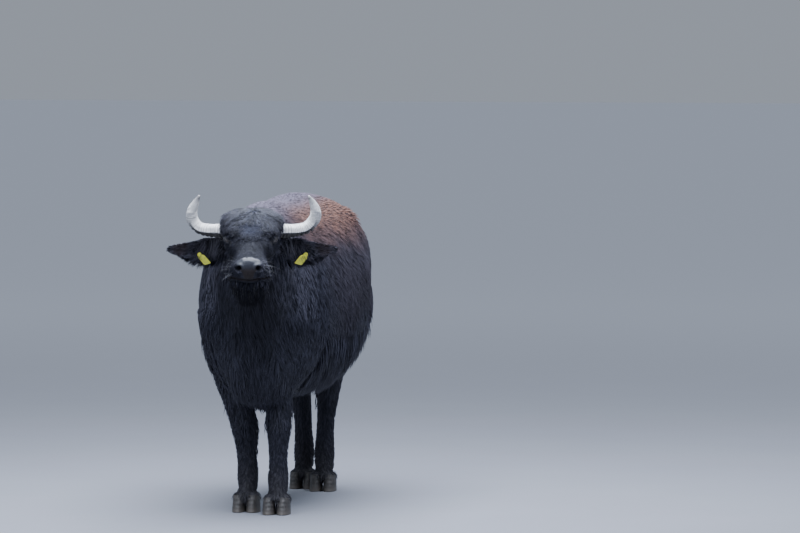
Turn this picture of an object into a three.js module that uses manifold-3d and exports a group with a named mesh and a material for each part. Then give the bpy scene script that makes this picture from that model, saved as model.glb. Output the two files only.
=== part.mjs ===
// A domestic water buffalo, life size, standing square with its head held up and turned a little to its left.
// Millimetres. The animal faces -Y, +X is its left side and +Z is up.
import * as THREE from "three";
import { mergeVertices } from "three/addons/utils/BufferGeometryUtils.js";
import Module from "manifold-3d";

const wasm = await Module();
wasm.setup();

// Clearance that neighbouring pieces keep, and the side of a block that is larger than the animal.
const GAP = 0.3;
const BIG = 6000;

// Where the head sits: the point half way between the eyes, the nose's dip and the turn to the left.
const EYE_MIDDLE = new THREE.Vector3(63, -1200, 1294);
const HEAD_DIP = THREE.MathUtils.degToRad(23);
const HEAD_TURN = THREE.MathUtils.degToRad(7.5);

// The hind quarters stand a little to the animal's left of the chest.
const RUMP_SHIFT = 30;

// Where each foot stands: its side, how far out its middle is, how far back of the neutral stance it is, how
// far to the left its side's middle line is, and how far its elbow is tucked in.
const FRONT_FEET = [
  { name: "front_left", side: 1, out: 79, swing: -15, shift: 0, tuck: 52 },
  { name: "front_right", side: -1, out: 81, swing: 90, shift: 0, tuck: 0 },
];
const HIND_FEET = [
  { name: "hind_left", side: 1, out: 62, swing: -60, shift: RUMP_SHIFT, tuck: 0 },
  { name: "hind_right", side: -1, out: 56, swing: 60, shift: RUMP_SHIFT, tuck: 0 },
];
const FRONT_FOOT_Y = -598;
const HIND_FOOT_Y = 678;
const CORONET_HEIGHT = 72;
const CORONET_SLOPE = 0.16;

const EYEBALL_RADIUS = 20;
const EYE_OUT = 96;
const LID_THICKNESS = 5.5;

const lerp = THREE.MathUtils.lerp;
const smoothstep = THREE.MathUtils.smoothstep;
const vec = (x, y, z) => new THREE.Vector3(x, y, z);

// A smooth run of every number held by a list of landmarks, by the distance between them.
function runThrough(marks, distance) {
  const fields = Object.keys(marks[0]);
  const run = [0];
  for (let i = 1; i < marks.length; i++) {
    run.push(run[i - 1] + distance(marks[i - 1], marks[i]));
  }
  const rate = (f, i) => (marks[i + 1][f] - marks[i][f]) / (run[i + 1] - run[i]);
  const slope = (f, i) => {
    if (i === 0) return rate(f, 0);
    if (i === marks.length - 1) return rate(f, i - 1);
    const before = run[i] - run[i - 1];
    const after = run[i + 1] - run[i];
    return (rate(f, i - 1) * after + rate(f, i) * before) / (before + after);
  };
  return (t) => {
    const i = Math.min(Math.max(Math.floor(t), 0), marks.length - 2);
    const h = t - i;
    const step = run[i + 1] - run[i];
    const found = {};
    for (const f of fields) {
      found[f] =
        (1 + 2 * h) * (1 - h) ** 2 * marks[i][f] +
        h * (1 - h) ** 2 * step * slope(f, i) +
        h * h * (3 - 2 * h) * marks[i + 1][f] +
        h * h * (h - 1) * step * slope(f, i + 1);
    }
    return found;
  };
}

// A point of a squared oval, at an angle from its right hand end.
function ovalPoint(oval, angle, grow, reach) {
  const c = Math.cos(angle);
  const s = Math.sin(angle);
  const power = 2 / (s >= 0 ? oval.roof : oval.keel);
  const side = (oval.half + grow) * reach * Math.sign(c) * Math.abs(c) ** power;
  const rise = ((s >= 0 ? oval.above : oval.below) + grow) * reach * Math.sign(s) * Math.abs(s) ** power;
  return oval.middle.clone().addScaledVector(oval.right, side).addScaledVector(oval.up, rise);
}

// A closed body whose section at t is the oval ovalAt(t), with rounded ends. Relief is a push along the normal.
function body(ovalAt, spans, { sides = 16, perSpan = 2, domes = [0.4, 0.4], relief = null }) {
  const last = spans;
  const bare = (t, angle, grow = 0) => ovalPoint(ovalAt(t), angle, grow, 1);
  const normal = (t, angle) => {
    const e = 0.01;
    const t0 = Math.max(t - e, 0);
    const t1 = Math.min(t + e, last);
    const along = bare(t1, angle).sub(bare(t0, angle));
    const around = bare(t, angle + e).sub(bare(t, angle - e));
    const n = along.cross(around).normalize();
    return n.dot(bare(t, angle).sub(ovalAt(t).middle)) < 0 ? n.negate() : n;
  };
  const point = (t, angle, grow = 0) => {
    const p = bare(t, angle, grow);
    return relief ? p.addScaledVector(normal(t, angle), relief(p, t, angle)) : p;
  };
  const heading = (t) => {
    const o = ovalAt(t);
    const ahead = ovalAt(Math.min(t + 0.02, last)).middle.sub(ovalAt(Math.max(t - 0.02, 0)).middle);
    const n = o.right.clone().cross(o.up).normalize();
    return n.dot(ahead) < 0 ? n.negate() : n;
  };
  const geometry = (grow = 0) => {
    const rings = [];
    const ring = (t, reach, shift) => {
      const o = ovalAt(t);
      const turned = [];
      for (let k = 0; k < sides; k++) {
        const angle = (2 * Math.PI * k) / sides;
        const p = reach === 1 ? point(t, angle, grow) : ovalPoint(o, angle, grow, reach);
        turned.push(p.addScaledVector(heading(t), shift));
      }
      rings.push(turned);
    };
    const domeLength = (t, share) => share * Math.min(ovalAt(t).half, ovalAt(t).above + ovalAt(t).below);
    const bends = [Math.PI / 3, Math.PI / 6];
    const startDome = domeLength(0, domes[0]);
    const endDome = domeLength(last, domes[1]);
    if (domes[0] > 0) bends.forEach((b) => ring(0, Math.cos(b), -startDome * Math.sin(b)));
    for (let i = 0; i <= spans * perSpan; i++) ring(i / perSpan, 1, 0);
    if (domes[1] > 0) [...bends].reverse().forEach((b) => ring(last, Math.cos(b), endDome * Math.sin(b)));
    const start = ovalAt(0).middle.addScaledVector(heading(0), -startDome - grow);
    const end = ovalAt(last).middle.addScaledVector(heading(last), endDome + grow);
    return closedSkin(rings, start, end);
  };
  return { ovalAt, point, normal, geometry, spans };
}

// Triangles over a stack of rings and the two points that close it, facing out.
function closedSkin(rings, start, end) {
  const sides = rings[0].length;
  const positions = [start, ...rings.flat(), end].flatMap((p) => [p.x, p.y, p.z]);
  const at = (i, k) => 1 + i * sides + (k % sides);
  const endIndex = 1 + rings.length * sides;
  const index = [];
  for (let k = 0; k < sides; k++) {
    index.push(0, at(0, k + 1), at(0, k));
    index.push(endIndex, at(rings.length - 1, k), at(rings.length - 1, k + 1));
  }
  for (let i = 0; i < rings.length - 1; i++) {
    for (let k = 0; k < sides; k++) {
      index.push(at(i, k), at(i, k + 1), at(i + 1, k));
      index.push(at(i, k + 1), at(i + 1, k + 1), at(i + 1, k));
    }
  }
  const geometry = new THREE.BufferGeometry();
  geometry.setAttribute("position", new THREE.Float32BufferAttribute(positions, 3));
  geometry.setIndex(index);
  return volumeOf(geometry) < 0 ? turnedRound(geometry) : geometry;
}

function volumeOf(geometry) {
  const p = geometry.attributes.position;
  const index = geometry.index.array;
  const [a, b, c] = [vec(), vec(), vec()];
  let six = 0;
  for (let i = 0; i < index.length; i += 3) {
    a.fromBufferAttribute(p, index[i]);
    b.fromBufferAttribute(p, index[i + 1]);
    c.fromBufferAttribute(p, index[i + 2]);
    six += a.dot(b.cross(c));
  }
  return six / 6;
}

function turnedRound(geometry) {
  const index = geometry.index.array;
  for (let i = 0; i < index.length; i += 3) [index[i + 1], index[i + 2]] = [index[i + 2], index[i + 1]];
  return geometry;
}

// A body in the plane of symmetry: each landmark is the chord from an upper to a lower point of the outline
// (front to back on a leg), with the half width, the share of the chord below the widest place, and squareness.
const chord = (x, topY, topZ, lowY, lowZ, half, waist = 0.5, roof = 2, keel = 2) => ({
  x, topY, topZ, lowY, lowZ, half, waist, roof, keel,
});
function chordBody(marks, options) {
  const at = runThrough(marks, (a, b) =>
    Math.hypot(b.topY + b.lowY - a.topY - a.lowY, b.topZ + b.lowZ - a.topZ - a.lowZ, 2 * (b.x - a.x)));
  const ovalAt = (t) => {
    const m = at(t);
    const low = vec(m.x, m.lowY, m.lowZ);
    const rise = vec(m.x, m.topY, m.topZ).sub(low);
    const length = rise.length();
    const up = rise.normalize();
    return {
      middle: low.addScaledVector(up, length * m.waist),
      right: vec(1, 0, 0),
      up,
      half: m.half,
      above: length * (1 - m.waist),
      below: length * m.waist,
      roof: m.roof,
      keel: m.keel,
    };
  };
  return body(ovalAt, marks.length - 1, options);
}

// A body along a curve in space: each landmark is a point, a half width, and the reach to both sides of the flat.
const station = (x, y, z, half, above, below, roof = 2, keel = 2) => ({ x, y, z, half, above, below, roof, keel });
function pathBody(marks, facing, options) {
  const at = runThrough(marks, (a, b) => Math.hypot(b.x - a.x, b.y - a.y, b.z - a.z));
  const last = marks.length - 1;
  const ovalAt = (t) => {
    const m = at(t);
    const a = at(Math.max(t - 0.02, 0));
    const b = at(Math.min(t + 0.02, last));
    const ahead = vec(b.x - a.x, b.y - a.y, b.z - a.z).normalize();
    const right = facing.clone().cross(ahead).normalize();
    const up = ahead.clone().cross(right).normalize();
    return { ...m, middle: vec(m.x, m.y, m.z), right, up };
  };
  return body(ovalAt, last, options);
}

// Geometry to a solid that can be joined and cut, and back.
function solidOf(geometry) {
  const bare = geometry.clone();
  bare.deleteAttribute("normal");
  bare.deleteAttribute("uv");
  const merged = mergeVertices(bare, 1e-3);
  const mesh = new wasm.Mesh({
    numProp: 3,
    vertProperties: merged.attributes.position.array,
    triVerts: new Uint32Array(merged.index.array),
  });
  return new wasm.Manifold(mesh);
}

function geometryOf(solid) {
  const mesh = solid.getMesh();
  const geometry = new THREE.BufferGeometry();
  geometry.setAttribute("position", new THREE.Float32BufferAttribute(mesh.vertProperties, 3));
  geometry.setIndex(new THREE.Uint32BufferAttribute(mesh.triVerts, 1));
  geometry.computeVertexNormals();
  return geometry;
}

const joined = (...solids) => solids.flat().reduce((a, b) => a.add(b));
const without = (solid, ...cutters) => cutters.flat().reduce((a, b) => a.subtract(b), solid);
const largest = (solid) =>
  solid.decompose().reduce((a, b) => (b.volume() > a.volume() ? b : a));

// A block that fills everything on the side of a plane that its normal points to.
function halfSpace(point, normal) {
  const block = new THREE.BoxGeometry(BIG, BIG, BIG).translate(0, 0, BIG / 2);
  const turn = new THREE.Quaternion().setFromUnitVectors(vec(0, 0, 1), normal.clone().normalize());
  return solidOf(block.applyQuaternion(turn).translate(point.x, point.y, point.z));
}

// The two sides of a thin cut through a solid, along a plane: first the side that the normal points to.
function parted(solid, point, normal) {
  const n = normal.clone().normalize();
  const ahead = halfSpace(point.clone().addScaledVector(n, GAP / 2), n);
  const behind = halfSpace(point.clone().addScaledVector(n, -GAP / 2), n.clone().negate());
  return [solid.intersect(ahead), solid.intersect(behind)];
}

// Torso and neck in one run, from the seat bones to inside the skull.
const TRUNK = [
  chord(RUMP_SHIFT, 838, 1200, 815, 1010, 95, 0.5),
  chord(RUMP_SHIFT, 775, 1300, 765, 860, 222, 0.55, 2.4),
  chord(24, 630, 1386, 635, 730, 288, 0.52, 2.3),
  chord(14, 440, 1432, 460, 600, 332, 0.54, 2.15),
  chord(4, 240, 1428, 260, 525, 380, 0.5, 2.1),
  chord(0, 0, 1422, 0, 505, 376, 0.48, 2.05, 2.1),
  chord(0, -230, 1428, -230, 520, 350, 0.47, 1.95, 2.1),
  chord(0, -450, 1434, -440, 530, 316, 0.47, 1.8, 2.1),
  chord(0, -620, 1424, -620, 510, 282, 0.52, 1.8, 2),
  chord(6, -730, 1412, -770, 610, 232, 0.52, 1.9),
  chord(18, -820, 1406, -880, 780, 182, 0.52),
  chord(34, -900, 1404, -955, 930, 156, 0.5),
  chord(46, -970, 1400, -1008, 1060, 132, 0.5),
  chord(54, -1030, 1390, -1050, 1170, 106, 0.5),
  chord(58, -1080, 1370, -1090, 1225, 80, 0.5),
];
const trunk = chordBody(TRUNK, { sides: 24, perSpan: 2, domes: [0.25, 0.2] });
const NECK_ROOT = { point: vec(10, -790, 1020), normal: vec(0.1, -0.93, 0.36) };

// The head in its own frame: x to the left, -y forward to the nose, z up, from the point between the eyes.
const headFrame = new THREE.Matrix4().compose(
  EYE_MIDDLE,
  new THREE.Quaternion().setFromEuler(new THREE.Euler(HEAD_DIP, 0, HEAD_TURN, "ZYX")),
  vec(1, 1, 1),
);
const placed = (geometry) => geometry.applyMatrix4(headFrame);

// Landmarks along the skull from nape to nose: how far forward of the eyes, top and bottom of the outline.
const skull = (ahead, top, lowAhead, low, half, waist, roof, keel) =>
  chord(0, -ahead, top, -lowAhead, low, half, waist, roof, keel);
const HEAD = [
  skull(-175, 60, -165, -100, 98, 0.52, 2.4, 2),
  skull(-135, 84, -125, -138, 124, 0.58, 2.8, 1.9),
  skull(-85, 90, -80, -150, 134, 0.6, 2.8, 1.8),
  skull(-35, 80, -35, -148, 122, 0.58, 2.6, 1.8),
  skull(10, 68, 10, -140, 112, 0.55, 2.4, 1.8),
  skull(75, 54, 72, -128, 96, 0.47, 2, 1.8),
  skull(140, 45, 135, -124, 82, 0.45, 1.9, 1.9),
  skull(200, 40, 190, -148, 90, 0.48, 1.9, 2.1),
  skull(245, 40, 238, -150, 94, 0.5, 1.95, 2.3),
  skull(272, 36, 264, -122, 79, 0.53, 2, 2.2),
  skull(290, 16, 280, -98, 62, 0.54, 2, 2.1),
  skull(299, -10, 293, -70, 40, 0.54, 2, 2),
];

// Soft swellings and hollows of the face: place, reach and push. Each is on both sides.
const swell = (x, ahead, z, reach, push) => ({ at: vec(x, -ahead, z), reach, push });
const FACE = [
  swell(92, -6, 36, 30, 9),
  swell(104, 6, 0, 26, 8),
  swell(100, -50, -84, 55, 10),
  swell(86, 70, -36, 34, 6),
  swell(78, 118, -66, 36, -7),
  swell(56, 280, -4, 20, 7),
  swell(0, 286, -84, 24, 5),
  swell(0, 238, -134, 34, 6),
  swell(84, 232, -80, 30, 5),
];
const POLL_HAIR = { at: vec(0, 112, 84), reach: 90, push: 3 };
function faceRelief(p) {
  let push = 0;
  for (const s of [...FACE, POLL_HAIR]) {
    const mirrored = vec(-s.at.x, s.at.y, s.at.z);
    push += s.push * Math.exp(-p.distanceToSquared(s.at) / (s.reach * s.reach));
    if (s.at.x) push += s.push * Math.exp(-p.distanceToSquared(mirrored) / (s.reach * s.reach));
  }
  return push;
}
const head = chordBody(HEAD, { sides: 28, perSpan: 2, domes: [0.3, 0.3], relief: faceRelief });

// The line of the mouth: a thin curved slot that follows the lips and goes only a little way in.
const MOUTH = { corner: 160, front: 330, cornerZ: -82, frontZ: -53, height: 4, depth: 10 };
function mouthSlot() {
  const line = new THREE.Shape();
  const rise = MOUTH.height / 2;
  line.moveTo(MOUTH.corner, MOUTH.cornerZ);
  line.quadraticCurveTo(MOUTH.corner + 70, MOUTH.cornerZ + 22, MOUTH.front, MOUTH.frontZ + rise);
  line.lineTo(MOUTH.front, MOUTH.frontZ - rise);
  line.quadraticCurveTo(MOUTH.corner + 70, MOUTH.cornerZ + 14, MOUTH.corner, MOUTH.cornerZ);
  const slab = new THREE.ExtrudeGeometry(line, { depth: 300, bevelEnabled: false, curveSegments: 4 });
  slab.translate(0, 0, -150).rotateX(Math.PI / 2).rotateZ(-Math.PI / 2);
  const floor = chordBody(HEAD, { sides: 20, perSpan: 1, domes: [0.3, 0.22], relief: faceRelief });
  return without(solidOf(slab), solidOf(floor.geometry(-MOUTH.depth)));
}

function nostril(side) {
  const marks = [
    station(side * 53, -320, -6, 14, 13, 12),
    station(side * 48, -298, -5, 13, 12, 11),
    station(side * 42, -280, -2, 9, 9, 8),
    station(side * 35, -262, 3, 5, 5, 4),
  ];
  return solidOf(pathBody(marks, vec(0, 0, 1), { sides: 10, perSpan: 1, domes: [0, 0.5] }).geometry());
}

// The eye looks out, a little forward and up. Lids are a thin ball round it, open along an almond.
const lookOf = (side) => vec(side * 0.88, -0.45, 0.12).normalize();
const eyeMiddle = (side) => vec(side * EYE_OUT, -2, 0);
const ball = (side, radius, rings) =>
  new THREE.SphereGeometry(radius, 2 * rings, rings).translate(...eyeMiddle(side).toArray());
const ALMOND = { width: 33, height: 15, reach: 60 };
function lidOpening(side) {
  const almond = new THREE.Shape();
  almond.moveTo(-ALMOND.width / 2, 0);
  almond.quadraticCurveTo(0, ALMOND.height, ALMOND.width / 2, 0);
  almond.quadraticCurveTo(0, -ALMOND.height, -ALMOND.width / 2, 0);
  const plug = new THREE.ExtrudeGeometry(almond, { depth: ALMOND.reach, bevelEnabled: false, curveSegments: 6 });
  const facing = new THREE.Matrix4().lookAt(lookOf(side), vec(0, 0, 0), vec(0, 0, 1));
  return plug.applyMatrix4(facing).translate(...eyeMiddle(side).toArray());
}

function sculptedHead() {
  let made = joined(solidOf(head.geometry()), pollLocks(), chinLocks());
  for (const side of [1, -1]) {
    made = joined(made, solidOf(ball(side, EYEBALL_RADIUS + LID_THICKNESS, 7)));
    made = without(made, nostril(side), solidOf(ball(side, EYEBALL_RADIUS + GAP, 7)));
    made = without(made, solidOf(lidOpening(side)));
  }
  return without(made, mouthSlot());
}

// A flat, tapered lock of hair that starts under the skin at root, leaves it, bends over and follows the lie.
// It lifts by rise in its middle, and its tip comes back towards the skin by curl.
const LOCK_SHARES = [0, 0.36, 0.72];
function lock({ root, normal, lie, length, width, thick, sink, rise, curl, sway = 0 }) {
  const flat = lie.clone().cross(normal).normalize();
  const spine = (u) =>
    root.clone()
      .addScaledVector(lie, length * (u - 0.08))
      .addScaledVector(normal, -sink + (sink + rise) * Math.sin(Math.min(1, 1.7 * u) * Math.PI / 2) - curl * u * u)
      .addScaledVector(flat, sway * u * u);
  const rings = LOCK_SHARES.map((u) => {
    const half = (width / 2) * (u === 0 ? 0.4 : 1 - 0.62 * u * u);
    const deep = (thick / 2) * (1 - 0.5 * u);
    const c = spine(u);
    return [[half, 0], [0, deep], [-half, 0], [0, -deep]].map(([a, b]) =>
      c.clone().addScaledVector(flat, a).addScaledVector(normal, b));
  });
  return solidOf(closedSkin(rings, spine(-0.04), spine(1)));
}

// Locks in rows over a body. Heading is the lie's angle from the body's length towards growing angles.
const random = seeded(7);
function seeded(seed) {
  let state = seed;
  return () => {
    state = (state * 1664525 + 1013904223) % 4294967296;
    return state / 4294967296;
  };
}
const vary = (share) => 1 + share * (2 * random() - 1);
function lockOn(shape, t, angle, heading, size) {
  const e = 0.02;
  const root = shape.point(t, angle);
  const normal = shape.normal(t, angle);
  const along = shape.point(Math.min(t + e, shape.spans), angle).sub(shape.point(t - e, angle)).normalize();
  const around = shape.point(t, angle + e).sub(shape.point(t, angle - e)).normalize();
  const lie = along.multiplyScalar(Math.cos(heading)).addScaledVector(around, Math.sin(heading));
  lie.addScaledVector(normal, -lie.dot(normal)).normalize();
  const length = size.length * vary(0.18);
  const width = size.width * vary(0.15);
  const sway = 0.16 * length * (2 * random() - 1);
  return lock({ ...size, root, normal, lie, length, width, sway });
}
const degrees = THREE.MathUtils.degToRad;

// The mop between the horns: it parts in the middle and falls forward over the brow.
const POLL_LOCKS = { length: 104, width: 52, thick: 10, sink: 14, rise: 9, curl: 10 };
const POLL_ROWS = [
  { t: 0.95, across: 5, edge: 40 },
  { t: 1.6, across: 6, edge: 36 },
  { t: 2.25, across: 5, edge: 40 },
  { t: 2.9, across: 5, edge: 46 },
  { t: 3.5, across: 3, edge: 66 },
];
function pollLocks() {
  const made = [];
  POLL_ROWS.forEach(({ t, across, edge }, row) => {
    for (let k = 0; k < across; k++) {
      const angle = degrees(lerp(edge, 180 - edge, (k + (row % 2 ? 0.25 : 0.75)) / across));
      const heading = (Math.PI / 2 - angle) * -0.6;
      made.push(lockOn(head, t + 0.2 * (random() - 0.5), angle, heading, POLL_LOCKS));
    }
  });
  return made;
}

// The tuft under the chin hangs down and back.
const CHIN_LOCKS = { length: 44, width: 36, thick: 10, sink: 12, rise: 26, curl: -20 };
const CHIN_PLACES = [[7.4, 252], [7.4, 288], [7.9, 240], [7.9, 270], [7.9, 300]];
const chinLocks = () => CHIN_PLACES.map(([t, angle]) => lockOn(head, t, degrees(angle), Math.PI, CHIN_LOCKS));

// Long hair down the throat and brisket, and the fringe along the lower flanks.
const down = (angle, slant) => (Math.cos(angle) > 0 ? -1 : 1) * (Math.PI / 2 + slant);
const THROAT_LOCKS = { length: 140, width: 74, thick: 12, sink: 18, rise: 16, curl: 2 };
const THROAT_PLACES = [
  [8.8, 271], [9, 267], [9.25, 274], [9.5, 264], [9.75, 275], [9.95, 266], [10.2, 276],
  [10.98, 262], [11.05, 278], [11.25, 269], [11.45, 281], [11.55, 258],
];
const throatLocks = () =>
  THROAT_PLACES.map(([t, angle]) => lockOn(trunk, t, degrees(angle), Math.PI, THROAT_LOCKS));
const FRINGE_LOCKS = { length: 142, width: 98, thick: 14, sink: 16, rise: 9, curl: -20 };
const FRINGE = { count: 11, from: 3.6, step: 0.25, angle: 325, stagger: 5 };
function fringeLocks() {
  const { count, from, step, angle, stagger } = FRINGE;
  return [1, -1].flatMap((side) =>
    Array.from({ length: count }, (_, k) => {
      const low = degrees(angle + stagger * (k % 2));
      const a = side > 0 ? low : 3 * Math.PI - low;
      return lockOn(trunk, from + step * k, a, down(a, 0.2), FRINGE_LOCKS);
    }));
}

// A horn: out of the side of the skull, then up and in, ridged to two thirds of its length. The left one
// opens a little wider at its tip.
const HORN_RIDGES = 11;
function horn(side) {
  const s = (x, y, z, half, above, below) => station(side * x, y, z, half, above, below, 2.3, 1.7);
  const flare = side > 0 ? 10 : -10;
  const marks = [
    s(100, 100, 0, 31, 26, 40),
    s(146, 112, -6, 31, 26, 38),
    s(196, 132, -15, 30, 25, 34),
    s(244, 150, -10, 28, 24, 30),
    s(273 + 0.35 * flare, 162, 20, 26, 25, 29),
    s(279 + 0.7 * flare, 163, 62, 23, 22, 27),
    s(265 + flare, 155, 106, 16, 15, 18),
    s(248 + flare, 142, 148, 5, 4.5, 5),
  ];
  const relief = (p, t) => {
    const wave = Math.abs(Math.sin((Math.PI * HORN_RIDGES * t) / 5));
    return 2.4 * (wave - 0.5) * smoothstep(t, 0.3, 0.8) * (1 - smoothstep(t, 4.2, 5.4));
  };
  return pathBody(marks, vec(side * -0.3, 0.1, 1), { sides: 10, perSpan: 4, domes: [0.2, 0.7], relief });
}

// An ear: a leaf cupped towards the front, thick where it roots in the head. The back and the inside of the
// leaf are laid out alike, from one rim to the other. Share runs from -1 at the lower rim to 1 at the upper.
const EAR = { steps: 13, across: 6, leaf: 7, plug: 34 };
const earAxis = runThrough(
  [
    { x: 96, y: 118, z: -74, wide: 30, cup: 24 },
    { x: 132, y: 128, z: -90, wide: 44, cup: 30 },
    { x: 170, y: 132, z: -109, wide: 60, cup: 32 },
    { x: 214, y: 130, z: -119, wide: 63, cup: 27 },
    { x: 262, y: 124, z: -114, wide: 49, cup: 20 },
    { x: 318, y: 110, z: -105, wide: 31, cup: 13 },
    { x: 376, y: 102, z: -96, wide: 10, cup: 3 },
  ],
  (a, b) => Math.hypot(b.x - a.x, b.y - a.y, b.z - a.z),
);
const EAR_END = 6;
function earPlace(side, t) {
  const m = earAxis(t);
  const a = earAxis(Math.max(t - 0.05, 0));
  const b = earAxis(Math.min(t + 0.05, EAR_END));
  const along = vec(side * (b.x - a.x), b.y - a.y, b.z - a.z).normalize();
  const open = vec(side * 0.1, -1, -0.1).normalize();
  const up = along.clone().cross(open).multiplyScalar(-side).normalize();
  return { m, along, open, up, middle: vec(side * m.x, m.y, m.z) };
}
function earPoint(side, t, share, inside, grow) {
  const { m, open, up, middle } = earPlace(side, t);
  const thick = EAR.leaf + EAR.plug * (1 - smoothstep(t, 0.2, 1.6));
  const rim = Math.abs(share) === 1;
  const depth = -m.cup * (1 - share * share) + (inside ? thick * (rim ? 0.4 : 1) + grow : -grow);
  return middle.addScaledVector(up, share * (m.wide + grow)).addScaledVector(open, depth);
}
function ear(side, grow = 0) {
  const rings = [];
  for (let i = 0; i <= EAR.steps; i++) {
    const t = (EAR_END * i) / EAR.steps;
    const ring = [];
    for (const inside of [false, true]) {
      for (let k = 0; k <= EAR.across; k++) {
        const share = (inside ? -1 : 1) * ((2 * k) / EAR.across - 1);
        ring.push(earPoint(side, t, share, inside, grow));
      }
    }
    rings.push(ring);
  }
  const middleOf = (ring) => ring.reduce((sum, p) => sum.add(p), vec(0, 0, 0)).divideScalar(ring.length);
  const tip = middleOf(rings[EAR.steps]).add(vec(side * (8 + grow), -1, 2));
  const root = middleOf(rings[0]).add(vec(-side * (2 + grow), 0, 1));
  return closedSkin(rings, root, tip);
}

// The fringe of the lower rim, its locks swept down and out, and the long hair inside the cup.
const RIM_LOCKS = { length: 48, width: 36, thick: 6, sink: 0, rise: 0, curl: -3 };
const CUP_LOCKS = { length: 92, width: 24, thick: 6, sink: 3.5, rise: 15, curl: 4 };
const RIM_PLACES = [2.4, 2.9, 3.4, 3.9, 4.4, 4.9, 5.4];
const CUP_PLACES = [[1.35, 0.45], [1.4, -0.25], [2.3, 0.4]];
function earLocks(side) {
  const rim = RIM_PLACES.map((t) => {
    const { along, open, up } = earPlace(side, t);
    const root = earPoint(side, t, -0.86, true, -EAR.leaf / 2);
    const lie = along.multiplyScalar(0.75 + 0.1 * random()).addScaledVector(up, -0.75 + 0.1 * t).normalize();
    return lock({ ...RIM_LOCKS, root, normal: open, lie, length: RIM_LOCKS.length * (1.25 - 0.11 * t) * vary(0.2) });
  });
  const cup = CUP_PLACES.map(([t, share]) => {
    const { along, open, up } = earPlace(side, t);
    const root = earPoint(side, t, share, true, 0);
    const lie = along.addScaledVector(up, 0.12 * (random() - 0.7)).normalize();
    const normal = open.addScaledVector(lie, -open.dot(lie)).normalize();
    return lock({ ...CUP_LOCKS, root, normal, lie, length: CUP_LOCKS.length * vary(0.2) });
  });
  return [...rim, ...cup];
}

// A plastic ear tag: a plate that hangs from a button inside the ear, and a pin through to a button behind it.
const TAG = { width: 44, neck: 18, shoulder: 12, bottom: 62, corner: 6, thick: 2.2, turn: 0.55, lean: 0.6 };
const TAG_BUTTON = { radius: 10, rear: 12, thick: 5, pin: 4, length: 40 };
const TAG_PLACE = { x: 240, y: 108, z: -128 };
const tagDisc = (radius, from, to) =>
  new THREE.CylinderGeometry(radius, radius, to - from, 8).translate(0, (from + to) / 2, 0);
function tagPin(side, grow) {
  const { pin, rear, thick, length } = TAG_BUTTON;
  const shaft = tagDisc(pin + grow, 0, length + 1);
  const back = tagDisc(rear + grow, length - grow, length + thick + grow);
  return [shaft, back].map((g) => solidOf(g.translate(side * TAG_PLACE.x, TAG_PLACE.y, TAG_PLACE.z)));
}
function tag(side) {
  const { width, neck, shoulder, bottom, corner } = TAG;
  const outline = [
    [neck / 2, 8], [neck / 2, -shoulder + 6], [width / 2, -shoulder], [width / 2, -bottom + corner],
    [width / 2 - corner, -bottom],
  ];
  const plate = new THREE.Shape([
    ...outline.map(([x, y]) => new THREE.Vector2(x, y)),
    ...outline.reverse().map(([x, y]) => new THREE.Vector2(-x, y)),
  ]);
  const slab = new THREE.ExtrudeGeometry(plate, { depth: TAG.thick, bevelEnabled: false });
  slab.translate(0, 0, -TAG.thick / 2).rotateX(Math.PI / 2).rotateZ(side * TAG.turn).rotateY(side * TAG.lean);
  const front = tagDisc(TAG_BUTTON.radius, -TAG_BUTTON.thick, 2);
  const pieces = [slab, front].map((g) => solidOf(g.translate(side * TAG_PLACE.x, TAG_PLACE.y, TAG_PLACE.z)));
  return joined(pieces, tagPin(side, 0));
}

// Legs as chords from the front of the leg to the back, from inside the body down to the coronet.
const legChord = (x, frontY, frontZ, backY, backZ, half) => chord(x, frontY, frontZ, backY, backZ, half);
const FRONT_LEG = [
  legChord(125, -590, 1200, -450, 1220, 45),
  legChord(180, -700, 1030, -430, 1040, 82),
  legChord(194, -725, 860, -410, 830, 80),
  legChord(176, -680, 725, -430, 700, 84),
  legChord(142, -642, 585, -480, 575, 74),
  legChord(114, -632, 465, -515, 460, 60),
  legChord(98, -640, 398, -522, 395, 58),
  legChord(90, -622, 325, -528, 322, 50),
  legChord(87, -614, 245, -528, 240, 45),
  legChord(86, -618, 168, -512, 150, 50),
  legChord(86, -632, 112, -535, 92, 45),
  legChord(86, -642, 84, -545, 56, 54),
  legChord(86, -650, 62, -552, 34, 55),
];
const HIND_LEG = [
  legChord(140, 500, 1160, 720, 1180, 70),
  legChord(188, 425, 990, 790, 980, 100),
  legChord(200, 420, 820, 765, 840, 94),
  legChord(167, 500, 665, 745, 695, 70),
  legChord(128, 600, 565, 755, 605, 56),
  legChord(110, 640, 480, 785, 520, 52),
  legChord(98, 655, 400, 765, 415, 47),
  legChord(90, 660, 290, 755, 290, 44),
  legChord(86, 652, 168, 758, 150, 50),
  legChord(86, 640, 112, 737, 92, 45),
  legChord(86, 634, 84, 730, 56, 54),
  legChord(86, 627, 62, 725, 34, 55),
];

// A leg of one foot: mirrored to its side, and swung so that its foot stands in its place.
function leg(marks, foot, kneeZ) {
  const top = marks[1].topZ;
  const stance = marks.map((m) => {
    const swing = foot.swing * smoothstep(top - (m.topZ + m.lowZ) / 2, 150, top - 250);
    const narrow = (foot.out - 86) * smoothstep(top - (m.topZ + m.lowZ) / 2, 150, top - kneeZ);
    const tucked = foot.tuck * Math.exp(-(((m.topZ + m.lowZ) / 2 - 575) ** 2) / 16000);
    return { ...m, x: foot.side * (m.x + narrow - tucked) + foot.shift, half: m.half - 0.2 * tucked, topY: m.topY + swing, lowY: m.lowY + swing };
  });
  return chordBody(stance, { sides: 12, perSpan: 1, domes: [0.3, 0.05] });
}

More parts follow.
